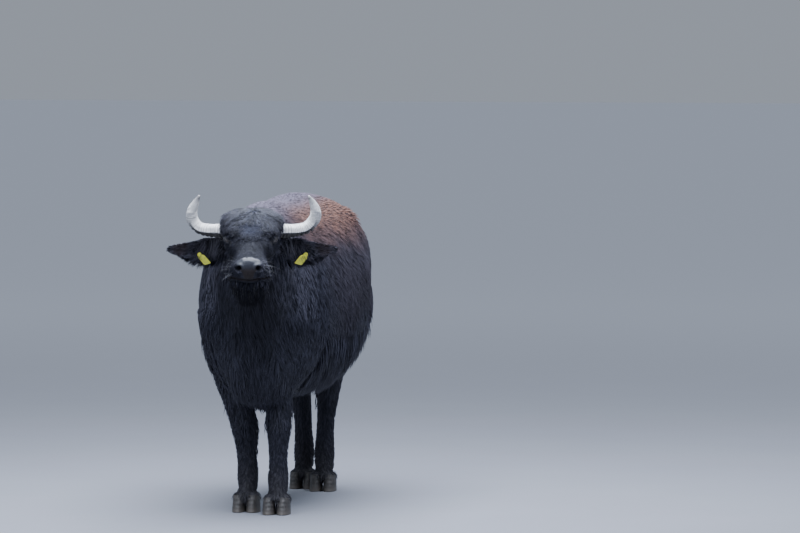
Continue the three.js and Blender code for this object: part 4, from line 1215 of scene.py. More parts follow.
# %% Trunk and neck
def trunk_flow(places):
    """Backwards on top, down and back on the side, straight down on neck and chest, back under the belly."""
    mm = places / MM + ORIGIN
    forward = smoothstep(-mm[:, 1], 560, 900)
    top = smoothstep(mm[:, 2], 1180, 1400) * (1 - 0.65 * forward)
    sideways = np.sign(mm[:, 0]) * smoothstep(np.abs(mm[:, 0]), 0, 60)
    back = 0.75 * (1 - forward) + 0.18 * forward + 0.9 * top
    return np.stack([0.28 * sideways * (0.4 + forward), back, -1.05 + 0.5 * top], -1)


def lower_edge(places):
    """1 where the long hair of the lower flank, brisket and belly grows."""
    mm = places / MM + ORIGIN
    return smoothstep(-mm[:, 2], -700, -560) * (mm[:, 1] < 700)


TRUNK_PIECES = [
    ("rump_hair", 0.0, 2.4), ("loin_hair", 2.4, 4.0), ("barrel_hair", 4.0, 5.6), ("rib_hair", 5.6, 7.1),
    ("shoulder_hair", 7.1, 9.0), ("neck_hair", 9.0, 12.6),
]
ALL_ROUND = (0, 360)
for piece, start, stop in TRUNK_PIECES:
    spots, normals, uv = scatter(trunk, "trunk", many(10020), (start, stop), ALL_ROUND)
    ways = combed(trunk_flow(spots), spots, normals, 0.14, 0.3, 4)
    front = smoothstep(-(spots / MM + ORIGIN)[:, 1], 620, 900)
    length = 0.06 + 0.014 * front + 0.03 * lower_edge(spots) * (1 - front)
    lift = 0.0038 + 0.001 * front
    tufts(piece, spots, normals, ways, uv, length, 0.0052, lift=lift, rings=2, clump=(8, 0.35), sway=0.07)

# %% Legs and tail
LEG_LIE = (0, 0.22, -1.0)


def below_hock(places):
    return 1 + 1.4 * (places[..., 2] < 0.5)


def over_hoof(places):
    return (places[..., 2] > 0.078) * (places[..., 2] < 0.1) + 1e-9


for leg_name, form in legs.items():
    spots, normals, uv = scatter(form, leg_name, many(4800), (1.4, form.spans - 0.2), ALL_ROUND, below_hock)
    height = spots[:, 2]
    thigh = smoothstep(height, 0.25, 0.6)
    ways = combed(LEG_LIE, spots, normals, 0.12, 0.12, 7)
    length = 0.026 + 0.028 * thigh + 0.01 * smoothstep(-height, -0.13, -0.08)
    lift = 0.003 + 0.0025 * thigh
    if leg_name == "front_right":  # the shaggiest leg
        lift = lift + 0.006 * smoothstep(height, 0.16, 0.3)
    tufts(leg_name + "_leg_hair", spots, normals, ways, uv, length, 0.0056 + 0.001 * thigh, lift=lift, rings=2,
          sway=0.08)
    spots, normals, uv = scatter(form, leg_name, many(260), (form.spans * 0.6, form.spans), ALL_ROUND, over_hoof)
    ways = combed(LEG_LIE, spots, normals, 0.1, 0.1, 8)
    tufts(leg_name + "_coronet_hair", spots, normals, ways, uv, 0.034, 0.005, lift=0.013, rings=2, sway=0.08)

spots, normals, uv = scatter(tail, "tail", many(1800), (0.3, tail.spans), ALL_ROUND)
tufts("tail_hair", spots, normals, laid((0, 0.1, -1.0), normals), uv, 0.03, 0.005, lift=0.004)

# %% [markdown]
# ## Long hair
#
# Where the coat is long it makes the outline: a fringe along the lower flanks, the throat and brisket, the
# elbows, and the switch at the end of the tail. These tufts have more rings, so that they can bend over and
# hang.

# %% Fringe, throat, brisket and switch
for piece, angles in (("left_fringe", (303, 343)), ("right_fringe", (197, 237))):
    spots, normals, uv = scatter(trunk, "trunk", many(1700), (2.6, 7.2), angles)
    ways = combed((0, 0.25, -1.0), spots, normals, 0.2, 0.12, 5)
    tufts(piece, spots, normals, ways, uv, 0.1, 0.0075, lift=0.013, rings=4, curl=-0.006, fall=0.12, clump=(10, 0.5))

spots, normals, uv = scatter(trunk, "trunk", many(3000), (7.6, 12.6), (238, 302))
ways = combed((0, 0.3, -1.0), spots, normals, 0.2, 0.12, 6)
tufts("throat_hair", spots, normals, ways, uv, 0.1, 0.0075, lift=0.013, rings=3, fall=0.12, clump=(10, 0.5))

ELBOWS = {"front_left": (50, -585, 500), "front_right": (-56, -500, 500)}
for name, inside in ELBOWS.items():
    thick = lambda p: near(p, in_body(np.array([inside], float))[0], 0.042) + 1e-7
    spots, normals, uv = scatter(legs[name], name, many(300), (2.0, 7.0), ALL_ROUND, thick)
    ways = combed((-0.2 * FEET[name]["side"], 0.1, -1.0), spots, normals, 0.2, 0.1, 8)
    tufts(name + "_elbow_hair", spots, normals, ways, uv, 0.055, 0.007, lift=0.014, rings=3, fall=0.2, clump=(8, 0.4))

spots, normals, uv = scatter(trunk, "trunk", many(1400), (2.6, 7.6), (240, 300))
ways = combed((0, 1.0, -0.2), spots, normals, 0.3, 0.12, 6)
tufts("belly_hair", spots, normals, ways, uv, 0.07, 0.0085, lift=0.012, rings=2, fall=0.2)

SWITCH_END, SWITCH_LENGTH = 0.385, 0.24
spots, normals, uv = scatter(tail, "tail", many(900), (4.9, tail.spans), ALL_ROUND)
normals = np.where(np.abs(normals[:, 2:]) > 0.6, [[0, 1.0, 0]], normals)  # at the very end, where hair also hangs
drop = np.clip(spots[:, 2] - SWITCH_END, 0.03, SWITCH_LENGTH)
tufts("switch_hair", spots, normals, laid((0, 0, -1.0), normals), uv, drop, 0.0075, lift=0.014, rings=5, waves=0.006,
      curl=0.004, clump=(12, 0.6))

# %% [markdown]
# ## The hair of the head
#
# The head has every kind of hair the animal owns. Velvet-short fur covers face and cheeks. From a whorl between
# the eyes it stands up in small curls. Over the poll a thick mop parts in the middle and falls to both sides in
# flat waves that end in a curl over each eye. Nose pad, lips and lids stay bare.

# %% Places on the face that stay bare
def nose_pad(local):
    """1 on the wet pad: over and between the nostrils, and down to the lip in a narrowing strip."""
    x, y, z = np.abs(local[:, 0]), -local[:, 1], local[:, 2]
    half = np.interp(z, [-60, -45, -20, 0, 14, 30, 46, 60], [15, 19, 27, 46, 55, 50, 34, 12])
    return smoothstep(y, 250, 262) * (1 - smoothstep(x, half - 3, half + 3)) * smoothstep(z, -60, -52)


def lip(local):
    rise = local[:, 2] - mouth_height(-local[:, 1])
    return bell(rise, 0, 7) * smoothstep(-local[:, 1], 150, 200)


def beside_eye(local, near_by, far):
    """1 up to near_by from the opening of an eye, 0 beyond far."""
    share = np.zeros(len(local))
    for side in (1, -1):
        away, _, facing = lid_distance(local, side)
        close = np.linalg.norm(local - eye_place(side), axis=1) < 60
        share = np.maximum(share, (1 - smoothstep(away, near_by, far)) * smoothstep(facing, -0.1, 0.3) * close)
    return share


def bare_skin(local):
    """1 where no hair grows: nose pad, lips and lids."""
    return np.maximum.reduce([nose_pad(local), lip(local) > 0.75, beside_eye(local, 6, 10)])


def on_horn_or_ear(local):
    roots = (np.array([side * 122, 106, -3]) for side in (1, -1))
    return np.minimum(*(np.linalg.norm(local - root, axis=1) for root in roots)) < 33


def head_roots(count, t_range, angle_range, thickness=None):
    spots, normals, uv = scatter(head, "head", count, t_range, angle_range, thickness)
    local = to_head(spots)
    kept = (rng.random(len(spots)) > bare_skin(local)) & ~on_horn_or_ear(local)
    return spots[kept], normals[kept], uv[kept], local[kept]


def thick_at(centres, reach, least):
    """How thickly roots stand over the head: most at the centres, least far from them."""
    def thickness(places):
        local = to_head(places.reshape(-1, 3))
        return sum(near(local, centre, reach) for centre in centres).reshape(places.shape[:2]) + least

    return thickness


def sign_of(values, soft=12.0):
    return np.clip(values / soft, -1, 1)


WHORL = (0, -8, 68)


def face_flow(local):
    """Down the nose, back and down over the cheeks, and round in a whorl between the eyes."""
    x, y, z = local.T
    top = smoothstep(z, -25, 45)
    muzzle = smoothstep(-y, 185, 235)
    flow = np.stack([sign_of(x) * (0.3 + 0.2 * top), 0.55 - 1.5 * top, -0.75 + 0.6 * top], -1)
    flow += muzzle[:, None] * np.stack([0 * x, -0.9 + 0 * x, -0.7 + 0 * x], -1)
    whorl = near(local, WHORL, 46)[:, None]
    swirl = np.stack([-(y - WHORL[1]) * 0.6 + x * 0.5, x * 0.6 + (y - WHORL[1]) * 0.5, 0 * x], -1) / 30
    behind = smoothstep(y, 95, 150)[:, None]
    flow = flow * (1 - behind) + behind * np.stack([0.2 * sign_of(x), 1 + 0 * x, -0.5 + 0 * x], -1)
    return head_way(unit(flow) * (1 - whorl) + swirl * whorl)

# %% Face, whorl, nape and beard
HEAD_END = head.spans
spots, normals, uv, local = head_roots(many(11500), (1.6, HEAD_END), ALL_ROUND)
ways = combed(face_flow(local), spots, normals, 0.15, 0.06, 12)
jaw = smoothstep(-local[:, 2], 60, 110) * smoothstep(local[:, 1], -235, -190)
muzzle = smoothstep(-local[:, 1], 215, 245)
length = 0.012 + 0.014 * jaw + 0.012 * smoothstep(local[:, 1], -60, 40) - 0.006 * muzzle * (1 - jaw)
length = length * (1 - 0.55 * beside_eye(local, 10, 32))
tufts("face_hair", spots, normals, ways, uv, length, 0.0028, lift=0.0018, rings=2, clump=(6, 0.3), sink=0.0015,
      sway=0.08)

spots, normals, uv, local = head_roots(many(2300), (3.1, 5.6), (60, 120), thick_at([(0, -26, 64)], 46, 1e-4))
ways = combed(face_flow(local), spots, normals, 0.9, 0.035, 13)
tufts("whorl_hair", spots, normals, ways, uv, 0.022, 0.0034, lift=0.007, curl=0.005, waves=0.002, clump=(7, 0.5))

spots, normals, uv, local = head_roots(many(2400), (0.0, 1.9), ALL_ROUND)
ways = combed(face_flow(local), spots, normals, 0.2, 0.09, 14)
tufts("nape_hair", spots, normals, ways, uv, 0.042, 0.006, lift=0.006, rings=2)

under_jaw = thick_at([(0, -215, -135)], 75, 0.15)
spots, normals, uv, local = head_roots(many(2000), (5.8, HEAD_END), (205, 335), under_jaw)
low = local[:, 2] < mouth_height(-local[:, 1]) - 12
spots, uv, local = spots[low], uv[low], local[low]
normals = unit(normals[low] + head_way(np.array([[0, -1.1, 0]])))  # hair under the jaw hangs and faces forward
ways = combed(head_way(np.tile([0, 0.15, -1.0], (len(spots), 1))), spots, normals, 0.25, 0.05, 15)
length = 0.016 + 0.04 * smoothstep(-local[:, 2], 100, 138)
tufts("chin_beard", spots, normals, ways, uv, length, 0.004, lift=0.009, rings=4, fall=0.4, clump=(9, 0.6))

# %% The mop over the poll
def mop_flow(local):
    """From the parting outwards and a little forward, then over and down at the sides."""
    x, y, z = local.T
    out = sign_of(x - 6, 7.0)
    over = smoothstep(np.abs(x), 50, 100)
    front = smoothstep(-y, -70, 10)
    way = np.stack([out * (1.0 - 0.45 * over), -0.30 - 0.55 * front, -0.1 - 0.9 * over], -1)
    rear = smoothstep(y, 105, 160)[:, None]
    return head_way(way * (1 - rear) + rear * np.stack([0.7 * out, 0.8 + 0 * x, 0 * x], -1))


def clear_of_eyes(roots, near_by, far):
    """Roots, their normals, unwrap and head places, without those beside an eye."""
    clear = beside_eye(roots[-1], near_by, far) < 0.5
    return [part[clear] for part in roots]


OVER_POLL = (22, 158)
spots, normals, uv, local = clear_of_eyes(head_roots(many(5900), (0.2, 3.2), OVER_POLL), 30, 44)
ways = combed(mop_flow(local), spots, normals, 0.42, 0.05, 16)
side_of = smoothstep(np.abs(local[:, 0]), 70, 110)
length = 0.052 - 0.02 * smoothstep(-local[:, 1], -30, 25) + 0.012 * smoothstep(local[:, 1], 40, 110)
length = length - 0.012 * side_of
lift = 0.0085 - 0.003 * side_of
tufts("poll_mop", spots, normals, ways, uv, length, 0.0044, lift=lift, rings=5, waves=0.006, curl=0.004, fall=0.04,
      clump=(15, 0.75))

brows = thick_at([(80, 4, 60), (-80, 4, 60)], 26, 1e-5)
spots, normals, uv, local = clear_of_eyes(head_roots(many(1000), (2.6, 4.6), OVER_POLL, brows), 16, 28)
x, y, z = local.T
whirl = unit(np.stack([-(z - 60) * np.sign(x), 0 * x, np.abs(x) - 84], -1))
ways = combed(head_way(whirl + np.array([0, -0.3, 0.2])), spots, normals, 0.25, 0.04, 17)
tufts("brow_curls", spots, normals, ways, uv, 0.022, 0.0034, lift=0.009, rings=5, waves=0.003, curl=0.007,
      clump=(12, 0.6))

# %% [markdown]
# ## The hair of the ears
#
# Seen from the front the ears are mostly hair: a ragged fringe hangs from the lower rim, a short brush stands
# along the upper, and long pale strands grow out of the hollow towards the tip.

# %% Ear hair
def ear_roots(side, count, t_range, share_range, lift):
    t = rng.uniform(*t_range, count)
    share = rng.uniform(*share_range, count)
    spots, normals, kept = settle(in_head(ear_point(side, t, share, lift)), 0.008)
    _, along, facing, upward, _ = ear_axes(side, t[kept])
    name = "ear_" + ("left" if side > 0 else "right")
    uv = on_chart(name, t[kept] / EAR_END, (share[kept] + 1) / 4 + 0.5 * lift)
    return spots, normals, uv, t[kept], share[kept], head_way(along), head_way(upward), head_way(facing)


def jumbled(ways, amount):
    return unit(ways + amount * rng.normal(size=ways.shape))


for name, side in SIDES.items():
    ear = "ear_" + name
    for part, lift, count in (("back", 0.0, 2600), ("hollow", 1.0, 1900)):
        spots, normals, uv, *_, along, upward, _ = ear_roots(side, many(count), (0.6, 5.95), (-0.96, 0.96), lift)
        ways = combed(along - 0.25 * upward, spots, normals, 0.2, 0.05, 18)
        tufts(f"{ear}_{part}_hair", spots, normals, ways, uv, 0.02, 0.0044, lift=0.0025, rings=2, clump=(6, 0.3),
              sink=0.001)
    spots, normals, uv, t, _, along, upward, facing = ear_roots(side, many(800), (1.2, 5.9), (-1, -0.9), 0.5)
    ways = jumbled(along * (0.5 + 0.09 * t)[:, None] - upward * (1.0 - 0.12 * t)[:, None], 0.2)
    length = 0.014 + 0.028 * smoothstep(t, 1.0, 2.2) * (1 - smoothstep(t, 3.4, 5.4))
    tufts(ear + "_lower_fringe", spots, unit(normals + facing), ways, uv, length, 0.004, lift=0.002, fall=0.12,
          clump=(12, 0.6))
    spots, normals, uv, *_, along, upward, facing = ear_roots(side, many(420), (0.9, 5.95), (0.9, 1), 0.5)
    ways = jumbled(along + upward * 0.3, 0.15)
    tufts(ear + "_upper_fringe", spots, unit(normals + facing), ways, uv, 0.014, 0.0036, lift=0.001, rings=2)
    spots, normals, uv, _, share, along, upward, facing = ear_roots(side, many(380), (0.7, 3.3), (-0.2, 0.95), 1.0)
    ways = jumbled(along * 0.6 - upward * (0.35 + 0.4 * share)[:, None] + facing * 0.25, 0.12)
    tufts(ear + "_inner_strands", spots, normals, ways, uv, 0.062, 0.0036, lift=0.01, rings=5, curl=0.004, fall=0.25,
          waves=0.002, clump=(10, 0.7), sink=0.0015)

# %% [markdown]
# ## Hair where two forms melt together
#
# Where the neck runs into the jaw, or a leg into the trunk, the skin is a fillet that neither form's roots
# reach. Roots are drawn on the skin itself there, and take the lie and length of the nearest hair.

# %% Fill the gaps
GAP_DRAWS, GAP = 60000, 0.013
old_spots, old_ways, old_uv, old_length, old_width, old_lift = map(np.concatenate, zip(*GROWN))
grown_tree = KDTree(len(old_spots))
for i, spot in enumerate(old_spots):
    grown_tree.insert(spot, i)
grown_tree.balance()


def of_faces(thing, what, wide):
    values = np.zeros(wide * len(thing.data.polygons))
    thing.data.polygons.foreach_get(what, values)
    return values.reshape(-1, wide)


middles, ways_out, areas = of_faces(skin, "center", 3), of_faces(skin, "normal", 3), of_faces(skin, "area", 1)[:, 0]
local = to_head(middles)
furred = (middles[:, 2] > 0.1) & ((local[:, 1] > -40) | (np.abs(local[:, 0]) > 190) | (local[:, 2] < -260))
picks = np.unique(rng.choice(len(areas), many(GAP_DRAWS), p=areas * furred / (areas * furred).sum()))
found = [grown_tree.find(middles[i]) for i in picks]
lonely = np.array([distance > GAP for _, _, distance in found])
picks, nearest = picks[lonely], np.array([index for _, index, _ in found])[lonely]
spots, normals = middles[picks], ways_out[picks]
kept = ~on_horn_or_ear(to_head(spots))
spots, normals, nearest = spots[kept], normals[kept], nearest[kept]
ways = combed(old_ways[nearest] + np.array([0, 0, -0.15]), spots, normals, 0.15, 0.1, 21)
tufts("fillet_hair", spots, normals, ways, old_uv[nearest], old_length[nearest, 0], old_width[nearest, 0],
      lift=old_lift[nearest, 0], rings=2)
coat_triangles = sum(len(p.data.loops) - 2 * len(p.data.polygons) for p in COAT)
print("coat:", coat_triangles, "triangles in", len(COAT), "pieces")

# %% [markdown]
# ## A small language for materials
#
# A material is a graph of nodes. Written as formulas it is far easier to read, so one class stands for a node's
# output: sums on it add Math nodes, and add() makes any other node in the same graph.

# %% The class for shader maths
class Wire:
    def __init__(self, tree, socket=None):
        self.tree, self.socket = tree, socket

    def add(self, kind, settings=None, inputs=None, output=0):
        node = self.tree.nodes.new(kind)
        for name, value in (settings or {}).items():
            if name == "stops":
                ramp = node.color_ramp
                ramp.elements.remove(ramp.elements[1])
                ramp.elements[0].position, ramp.elements[0].color = value[0]
                for place, colour in value[1:]:
                    ramp.elements.new(place).color = colour
            else:
                setattr(node, name, value)
        for name, value in (inputs or {}).items():
            if isinstance(value, Wire):
                self.tree.links.new(value.socket, node.inputs[name])
            else:
                node.inputs[name].default_value = value
        return Wire(self.tree, node.outputs[output])

    def math(self, operation, *values):
        return self.add("ShaderNodeMath", {"operation": operation}, dict(enumerate(values)))

    def __add__(self, other):
        return self.math("ADD", self, other)

    def __sub__(self, other):
        return self.math("SUBTRACT", self, other)

    def __rsub__(self, other):
        return self.math("SUBTRACT", other, self)

    def __mul__(self, other):
        return self.math("MULTIPLY", self, other)

    def __pow__(self, other):
        return self.math("POWER", self, other)

    __radd__, __rmul__ = __add__, __mul__

    def between(self, low, high):
        """0 below low, 1 above high, smooth between them; low may be the greater."""
        sockets = {0: self, 1: low, 2: high, 3: 0.0, 4: 1.0}
        return self.add("ShaderNodeMapRange", {"interpolation_type": "SMOOTHSTEP"}, sockets)

    def blend(self, first, second, kind="MIX"):
        """This value as the share of the second colour."""
        settings = {"data_type": "RGBA", "blend_type": kind}
        return self.add("ShaderNodeMix", settings, {0: self, 6: first, 7: second}, 2)

    def xyz(self):
        return [self.add("ShaderNodeSeparateXYZ", None, {0: self}, k) for k in range(3)]

    def stretched(self, x, y, z):
        return self.add("ShaderNodeVectorMath", {"operation": "MULTIPLY"}, {0: self, 1: (x, y, z)})

    def noise(self, scale, detail=3.0, rough=0.55):
        sockets = {"Vector": self, "Scale": scale, "Detail": detail, "Roughness": rough}
        return self.add("ShaderNodeTexNoise", None, sockets)


def rgb(red, green, blue):
    return (red, green, blue, 1.0)


def finish_of(name, **constants):
    """A new material, its start wire and its surface shader with constants set on the sockets."""
    material = bpy.data.materials.new(name)
    material.use_nodes = True
    shader = material.node_tree.nodes["Principled BSDF"]
    for socket, value in constants.items():
        shader.inputs[socket.replace("_", " ")].default_value = value
    return material, Wire(material.node_tree), shader


def connect(start, shader, **links):
    for socket, wire in links.items():
        start.tree.links.new(wire.socket, shader.inputs[socket.replace("_", " ")])


def placed(start):
    return start.add("ShaderNodeTexCoord", None, None, 3)


def attribute(start, name):
    return start.add("ShaderNodeAttribute", {"attribute_name": name}, None, 2)


def bumped(start, height, depth, strength=0.6):
    return start.add("ShaderNodeBump", None, {"Height": height, "Distance": depth, "Strength": strength})


print("materials can be written as formulas")

# %% [markdown]
# ## The colour of the coat
#
# A buffalo is called black, but its long winter hair is slate on the flank and bleached red-brown over the
# shoulder and back where the sun reaches it. The top of the back carries a painted sheen and the ridge of the
# withers a painted highlight. Chest, jaw and the underside of the head are nearly black: darker hair, with
# painted shade over it. The same formula colours the skin and every tuft from its place on the animal, so that
# a gap between tufts doesn't show. A band is a soft step along one axis, its edge moved about by slow noise. A
# spot is round.

# %% One formula for skin and hair
def coat_colour(start, strand):
    """Slate black, bleached to rust on the upper flanks, with painted sheen on the back and painted shade under the
    head; strand, 0 to 1, tells one tuft from the next.
    """
    place = placed(start)
    x, y, z = place.xyz()
    drift = place.noise(3.2, 3.0) - 0.5
    streak = place.stretched(40, 40, 5.0).noise(1.0, 4.0, 0.6) * 0.6 + strand * 0.4

    def band(axis, wander, low, high):
        return (axis + drift * wander).between(low, high)

    def spot(centre, reach):
        ends = {0: place, 1: tuple(in_head(centre))}
        return place.add("ShaderNodeVectorMath", {"operation": "DISTANCE"}, ends, 1).between(reach, reach * 0.25)

    def on_ear(side, t, share, reach):
        return spot(ear_point(side, np.array([t]), np.array([share]), 1.0)[0], reach)

    beside = (0.12 + 0.88 * band(x, 0.12, -0.02, 0.13)) * (1 - 0.75 * band(x, 0.12, 0.24, 0.36))
    bleached = band(z, 0.25, 1.13, 1.37) * band(y, 0.25, -0.45, -0.05) * band(z, 0.1, 1.46, 1.40) * beside
    # where the painted highlight along the ridge of the withers lies
    ridge = band(z, 0.1, 1.31, 1.42) * band(x, 0.1, 0.16, 0.04) * band(y, 0.2, -0.62, -0.4)
    flank = band(z, 0.3, 0.75, 0.95) * band(z, 0.3, 1.3, 1.1) * band(y, 0.4, -0.3, 0.1)
    throat_side = band(y * -1, 0.2, 0.3, 0.5) * band(z, 0.2, 0.85, 1.0) * band(z, 0.2, 1.34, 1.2)
    off_middle = band(((x + 0.03) * (x + 0.03)) ** 0.5, 0.06, 0.12, 0.19)
    rust = streak.between(0.22, 0.68).blend(rgb(0.045, 0.029, 0.027), rgb(0.20, 0.102, 0.074))
    face_hair = streak.between(0.3, 0.7).blend(rgb(0.0065, 0.007, 0.0105), rgb(0.018, 0.0188, 0.028))
    mop_hair = streak.between(0.42, 0.66).blend(rgb(0.004, 0.0045, 0.007), rgb(0.045, 0.049, 0.071))
    layers = [  # where, and the colour there; each lies over those before it
        # painted sheen: the top of the back lighter and lilac, as the sky's light on it makes it
        (band(z, 0.3, 1.12, 1.4) * band(y, 0.3, -0.55, -0.3) * 0.8, rgb(0.056, 0.044, 0.056)),  # back
        (bleached * 0.9, rust),
        # painted highlight along the ridge of the withers
        (ridge * streak.between(0.3, 0.55) * 0.75, rgb(0.13, 0.117, 0.155)),
        (flank * 0.4, rgb(0.045, 0.037, 0.045)),
        # chest nearly black: darker hair, with painted shade over it
        (band(y * -1, 0.2, 0.42, 0.72) * band(z, 0.3, 1.2, 0.92) * 0.8, rgb(0.0055, 0.006, 0.0095)),  # chest
        (band(z, 0.2, 0.75, 0.5) * 0.6, rgb(0.027, 0.027, 0.037)),  # legs
        (band(z, 0.1, 0.3, 0.1) * 0.4, rgb(0.03, 0.026, 0.024)),  # fetlocks
        (spot([0, -120, 10], 0.34) * 0.9, face_hair),
        (spot([0, 70, 95], 0.15) * 0.7, mop_hair),
        (spot([0, -34, 60], 0.055) * 0.6, rgb(0.032, 0.035, 0.052)),  # whorl
        (throat_side * off_middle * streak.between(0.42, 0.62) * 0.8, rgb(0.084, 0.083, 0.108)),
    ]
    for side in (1, -1):
        layers += [  # hollow, middle and tip of the ear
            (on_ear(side, 1.7, 0.25, 0.085) * streak.between(0.35, 0.6) * 0.9, rgb(0.13, 0.125, 0.14)),
            (on_ear(side, 3.3, 0.25, 0.10) * streak.between(0.3, 0.6) * 0.7, rgb(0.07, 0.066, 0.08)),
            (on_ear(side, 5.2, 0.3, 0.06) * 0.5, rgb(0.05, 0.032, 0.03)),
        ]
    # painted shade under the head and round the jaw, over hair that is darker there too
    layers += [  # under the head, and the jaw
        (spot([0, -110, -250], 0.3) * 0.8, rgb(0.0035, 0.0035, 0.005)),
        (spot([0, -110, -150], 0.26) * 0.85, rgb(0.0045, 0.0045, 0.006)),
    ]
    colour = streak.between(0.3, 0.68).blend(rgb(0.010, 0.0103, 0.016), rgb(0.036, 0.0365, 0.052))
    for where, paint in layers:
        colour = where.blend(colour, paint)
    return place, colour


def coat_finish(name, shine, pale_tips, shaded_roots):
    """The finish of tufts: pale tips and roots darkened by painted shade on the coat's colour, and fine strands
    across each tuft.
    """
    material, start, shader = finish_of(name, Roughness=0.45, Specular_IOR_Level=shine)
    along, shade, across = (attribute(start, name) for name in ("along", "shade", "across"))
    place, colour = coat_colour(start, shade)
    sunned = 0.25 + 0.75 * place.xyz()[2].between(0.85, 1.2)
    tip = along.between(0.3, 1.0) * shade.between(0.3, 1.0) * sunned
    colour = (tip * pale_tips).blend(colour, rgb(0.03, 0.023, 0.022), "ADD")
    # painted shade: roots darker, as deep in the coat; and a random share of tufts darker in tone
    dark = along.between(0.45, 0.0) * shaded_roots + shade.between(0.6, 0.0) * 0.4
    colour = dark.blend(colour, rgb(0.2, 0.2, 0.22), "MULTIPLY")
    own_space = start.add("ShaderNodeCombineXYZ", None, {0: across * 5.0, 1: along * 1.2, 2: shade * 40.0})
    strand = own_space.noise(1.6, 3.0)
    colour = (strand.between(0.35, 0.75) * 0.4).blend(colour, rgb(1.7, 1.7, 1.7), "MULTIPLY")
    connect(start, shader, Base_Color=colour, Roughness=strand * 0.2 + 0.3, Normal=bumped(start, strand, 0.001))
    return material


print("coat colour is one formula for", 1 + len(COAT), "pieces")

# %% [markdown]
# ## Skin: short fur, nose pad, lips and lids
#
# Under the tufts the skin carries the same colour, darkened as painted shade of the coat over it, with a fine
# nap drawn as bump. Where no hair grows it is bare: the nose pad is pebbled like all cattle's and wet, the lids
# and lips are smooth and dark. The lids are painted a little lighter as a highlight, and the pad lighter and
# bluish on top as a painted highlight and darker below as painted shade.
# The bare places are kept as an attribute, because they were worked out on the mesh already.

# %% Skin
local = to_head(points_of(skin))
around_face = (local[:, 1] < 40) & (np.abs(local[:, 0]) < 170) & (local[:, 2] > -190)
SKIN_MASKS = {
    "bare": bare_skin, "nose_pad": nose_pad, "lip": lip,
    "pad_height": lambda places: smoothstep(places[:, 2], -16, 14),
}
for name, mask in SKIN_MASKS.items():
    values = np.zeros(len(local))
    values[around_face] = mask(local[around_face])
    float_layer(skin, name, values)


def skin_finish():
    material, start, shader = finish_of("hide", Roughness=0.6, Specular_IOR_Level=0.14, Coat_Roughness=0.22)
    place, colour = coat_colour(start, 0.5)
    bare_at, pad, lip_at = (attribute(start, name) for name in ("bare", "nose_pad", "lip"))
    nap = place.stretched(1, 1, 0.35).noise(260.0, 3.0, 0.6)
    # painted shade: the skin under the coat is darkened, unevenly with the nap
    colour = (nap * 0.4 + 0.2).blend(colour, rgb(0.4, 0.4, 0.4), "MULTIPLY")
    mottle = place.noise(60.0, 3.0)
    # bare lids, a little lighter than the face: their own tone with a painted highlight
    lids = mottle.between(0.35, 0.7).blend(rgb(0.018, 0.017, 0.02), rgb(0.04, 0.038, 0.043))
    lips = mottle.between(0.35, 0.7).blend(rgb(0.012, 0.009, 0.009), rgb(0.03, 0.021, 0.02))
    cells = {"Vector": place, "Scale": 290.0}
    pebble = place.add("ShaderNodeTexVoronoi", {"feature": "DISTANCE_TO_EDGE"}, cells).between(0.0, 0.16)
    high = attribute(start, "pad_height")
    # painted highlight: the top of the pad lighter and bluish; painted shade: darker below
    pad_highlight_and_shade = high.blend(rgb(0.016, 0.012, 0.012), rgb(0.028, 0.030, 0.040))
    nose = (pebble * 0.5 + 0.5).blend(rgb(0.010, 0.010, 0.012), pad_highlight_and_shade)
    colour = lip_at.blend(bare_at.blend(colour, lids), lips)
    colour = pad.blend(colour, nose)
    wet = pad * (0.36 - pebble * 0.08) + (1 - pad) * (0.68 - bare_at * 0.3)
    relief = (1 - pad) * nap * 0.8 + pad * pebble * 0.5
    connect(start, shader, Base_Color=colour, Roughness=wet, Coat_Weight=pad * (high * 0.5 + 0.06),
            Normal=bumped(start, relief, 0.0010, 0.4))
    return material


print("bare skin of the face is masked")

# %% [markdown]
# ## Horn, hoof, eye and tag
#
# Horn is pale grey, darker in the grooves between the rings and at the worn tip; the dark underside of the keel
# is painted shade. The eye is dark brown with a long level pupil under a clear wet layer. The tags are matte
# soft plastic, a little dirty.

# %% The other finishes
def horn_finish():
    material, start, shader = finish_of("horn_keratin", Roughness=0.5)
    place = placed(start)
    grown, keel, groove = (attribute(start, name) for name in ("grown", "keel", "groove"))
    fibre = place.noise(38.0, 5.0, 0.65)
    grain = place.noise(210.0, 3.0, 0.6)
    colour = fibre.between(0.3, 0.72).blend(rgb(0.54, 0.53, 0.52), rgb(0.84, 0.82, 0.80))
    colour = (groove.between(0.1, 0.7) * 0.65).blend(colour, rgb(0.13, 0.125, 0.12))
    # painted shade: the underside of the keel is dark, with a lighter grain on it
    under = (keel + (fibre - 0.5) * 0.3).between(0.2, 0.34) * grown.between(4.8, 3.0)
    keel_shade_colour = grain.between(0.4, 0.65).blend(rgb(0.009, 0.008, 0.008), rgb(0.05, 0.046, 0.042))
    colour = under.blend(colour, keel_shade_colour)
    worn_tip = grown.between(6.0, 7.0) * fibre.between(0.35, 0.6)
    colour = (worn_tip * 0.8).blend(colour, rgb(0.10, 0.095, 0.09))
    root = grown.between(0.9, 0.35)
    colour = (root * 0.6).blend(colour, rgb(0.06, 0.052, 0.047))
    connect(start, shader, Base_Color=colour, Roughness=0.38 + fibre * 0.3,
            Normal=bumped(start, fibre + grain * 0.4, 0.0018, 0.5))
    return material


